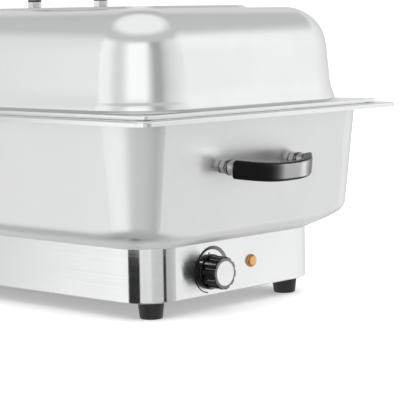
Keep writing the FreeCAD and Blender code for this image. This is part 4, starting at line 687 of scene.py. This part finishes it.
class WARMER_OT_studio(Operator):
    """Set up the pale floor, the soft studio light and the camera"""

    bl_idname = "warmer.studio"
    bl_label = "Studio"

    def execute(self, context):
        settings = context.scene.warmer_studio
        self.floor(settings)
        self.world(context.scene, settings)
        self.softboxes()
        self.flags()
        self.camera(context.scene, settings.lens)
        context.scene.view_settings.view_transform = "Standard"
        context.scene.view_settings.look = "None"
        return {"FINISHED"}

    def matt(self, name, grey):
        """A dull grey for what stands round the object."""
        material, _, shader = new_material(name)
        shader.inputs["Base Color"].default_value = (grey, grey, grey, 1)
        shader.inputs["Roughness"].default_value = 1
        shader.inputs["Specular IOR Level"].default_value = 0
        return material, shader

    def floor(self, settings):
        bpy.ops.object.select_all(action="DESELECT")
        bpy.ops.mesh.primitive_plane_add(size=FLOOR_SIZE, location=(0, 0, FLOOR))
        floor = bpy.context.object
        floor.name = "floor"
        material, shader = self.matt("studio floor", 0.9)
        shader.inputs["Emission Color"].default_value = (1, 1, 1, 1)
        shader.inputs["Emission Strength"].default_value = settings.floor_glow
        floor.data.materials.append(material)
        floor.visible_glossy = False

    def softboxes(self):
        """Lights that only the black pieces catch."""
        for name, pieces, aim, bearing, tilt, distance, size, radiance in SOFTBOXES:
            data = bpy.data.lights.new(name, "AREA")
            data.shape = "RECTANGLE"
            data.size, data.size_y = size
            data.energy = radiance * math.pi * size[0] * size[1]
            box = bpy.data.objects.new(name, data)
            bpy.context.scene.collection.objects.link(box)
            box.visible_camera = False
            around, up = math.radians(bearing), math.radians(tilt)
            towards = Vector((math.cos(up) * math.cos(around), math.cos(up) * math.sin(around),
                              math.sin(up)))
            turn = towards.to_track_quat("Z", "Y").to_matrix().to_4x4()
            box.matrix_world = Matrix.Translation(Vector(aim) + towards * distance) @ turn
            catchers = bpy.data.collections.new(name)
            for piece in pieces:
                catchers.objects.link(NODES[piece])
            box.light_linking.receiver_collection = catchers
            box.light_linking.blocker_collection = catchers

    def flags(self):
        """Black cards low beside the near corner of the base, which only mirrors see."""
        material, _ = self.matt("black card", 0.03)
        low, high = FLAG_HEIGHTS
        for name, start, end in FLAGS:
            bpy.ops.object.select_all(action="DESELECT")
            bpy.ops.mesh.primitive_plane_add(size=1)
            card = bpy.context.object
            card.name = name
            corners = ((start, low), (end, low), (start, high), (end, high))
            for vertex, (spot, height) in zip(card.data.vertices, corners):
                vertex.co = (*spot, height)
            card.data.materials.append(material)
            card.visible_camera = False
            card.visible_shadow = False
            card.visible_diffuse = False

    def camera(self, scene, focal):
        data = bpy.data.cameras.new("camera")
        data.lens = focal
        data.sensor_width = SENSOR_WIDTH
        data.clip_end = CLIP_END
        camera = bpy.data.objects.new("camera", data)
        scene.collection.objects.link(camera)
        right = CAMERA_RIGHT.normalized()
        back = right.cross(CAMERA_UP).normalized()
        up = back.cross(right)
        turn = Matrix((right, up, back)).transposed()
        camera.matrix_world = Matrix.Translation(CAMERA_SPOT) @ turn.to_4x4()
        scene.camera = camera

    def world(self, scene, settings):
        """A plain backdrop for the camera, and the studio round the object for all other rays."""
        world = bpy.data.worlds.new("studio")
        scene.world = world
        world.use_nodes = True
        w = Wiring(world.node_tree)
        ray = w.add("ShaderNodeLightPath")
        light = w.add("ShaderNodeBackground")
        w.link(self.sky(w, ray.outputs["Is Diffuse Ray"], settings), light.inputs["Color"])
        plain = w.add("ShaderNodeBackground")
        plain.inputs["Color"].default_value = (1, 1, 1, 1)
        plain.inputs["Strength"].default_value = BACKDROP
        chosen = w.add("ShaderNodeMixShader")
        w.link(ray.outputs["Is Camera Ray"], chosen.inputs["Fac"])
        w.link(light.outputs[0], chosen.inputs[1])
        w.link(plain.outputs[0], chosen.inputs[2])
        out = w.add("ShaderNodeOutputWorld")
        w.link(chosen.outputs[0], out.inputs["Surface"])

    def sky(self, w, diffuse, settings):
        """Brightness by direction: walls in three bands, ground and ceiling."""
        east, north, height = w.axes("Generated")
        bearing = w.math("ARCTAN2", north, east)
        turn = w.math("FRACT", w.math("ADD", w.math("DIVIDE", bearing, 2 * math.pi), 1.0))
        low, level, high = (w.ramp(turn, [(place / 360, value) for place, value in band])
                            for band in (LOW_BAND, BASE_BAND, HIGH_BAND))
        sky = w.mix(w.spread(height, *LOW_EDGE, 1, 0), level, low)
        sky = w.mix(w.spread(height, *HIGH_EDGE, 0, 1), sky, high)
        sky = w.mix(w.spread(height, *GROUND_EDGE, 0, 1), sky, GROUND)
        mirrored = w.spread(height, *TOP_EDGE, settings.ceiling, settings.top_light)
        overhead = w.mix(diffuse, mirrored, (settings.overhead,) * 3)
        return w.mix(w.spread(height, *CEILING_EDGE, 0, 1), sky, overhead)


# --- panel and registration ---------------------------------------------------

STEPS = (WARMER_OT_sheet_steel, WARMER_OT_black_plastic, WARMER_OT_fittings, WARMER_OT_feet,
         WARMER_OT_pilot_lamp, WARMER_OT_inner_works, WARMER_OT_heat_scale, WARMER_OT_studio)


class WARMER_PT_panel(Panel):
    """Sizes, colours and steps of the food warmer"""

    bl_label = "Food warmer"
    bl_idname = "WARMER_PT_panel"
    bl_space_type = "VIEW_3D"
    bl_region_type = "UI"
    bl_category = "Food warmer"

    def draw(self, context):
        scene = context.scene
        for group in (scene.warmer_sizes, scene.warmer_colours, scene.warmer_studio):
            column = self.layout.column(align=True)
            for name in group.__annotations__:
                column.prop(group, name)
        for step in STEPS:
            self.layout.operator(step.bl_idname)


CLASSES = (WarmerSizes, WarmerColours, StudioSettings, *STEPS, WARMER_PT_panel)


def register():
    for item in CLASSES:
        bpy.utils.register_class(item)
    bpy.types.Scene.warmer_sizes = PointerProperty(type=WarmerSizes)
    bpy.types.Scene.warmer_colours = PointerProperty(type=WarmerColours)
    bpy.types.Scene.warmer_studio = PointerProperty(type=StudioSettings)


def unregister():
    del bpy.types.Scene.warmer_studio
    del bpy.types.Scene.warmer_colours
    del bpy.types.Scene.warmer_sizes
    for item in reversed(CLASSES):
        bpy.utils.unregister_class(item)


def main():
    register()
    for step in STEPS:
        category, name = step.bl_idname.split(".")
        getattr(getattr(bpy.ops, category), name)()


if __name__ == "__main__":
    main()
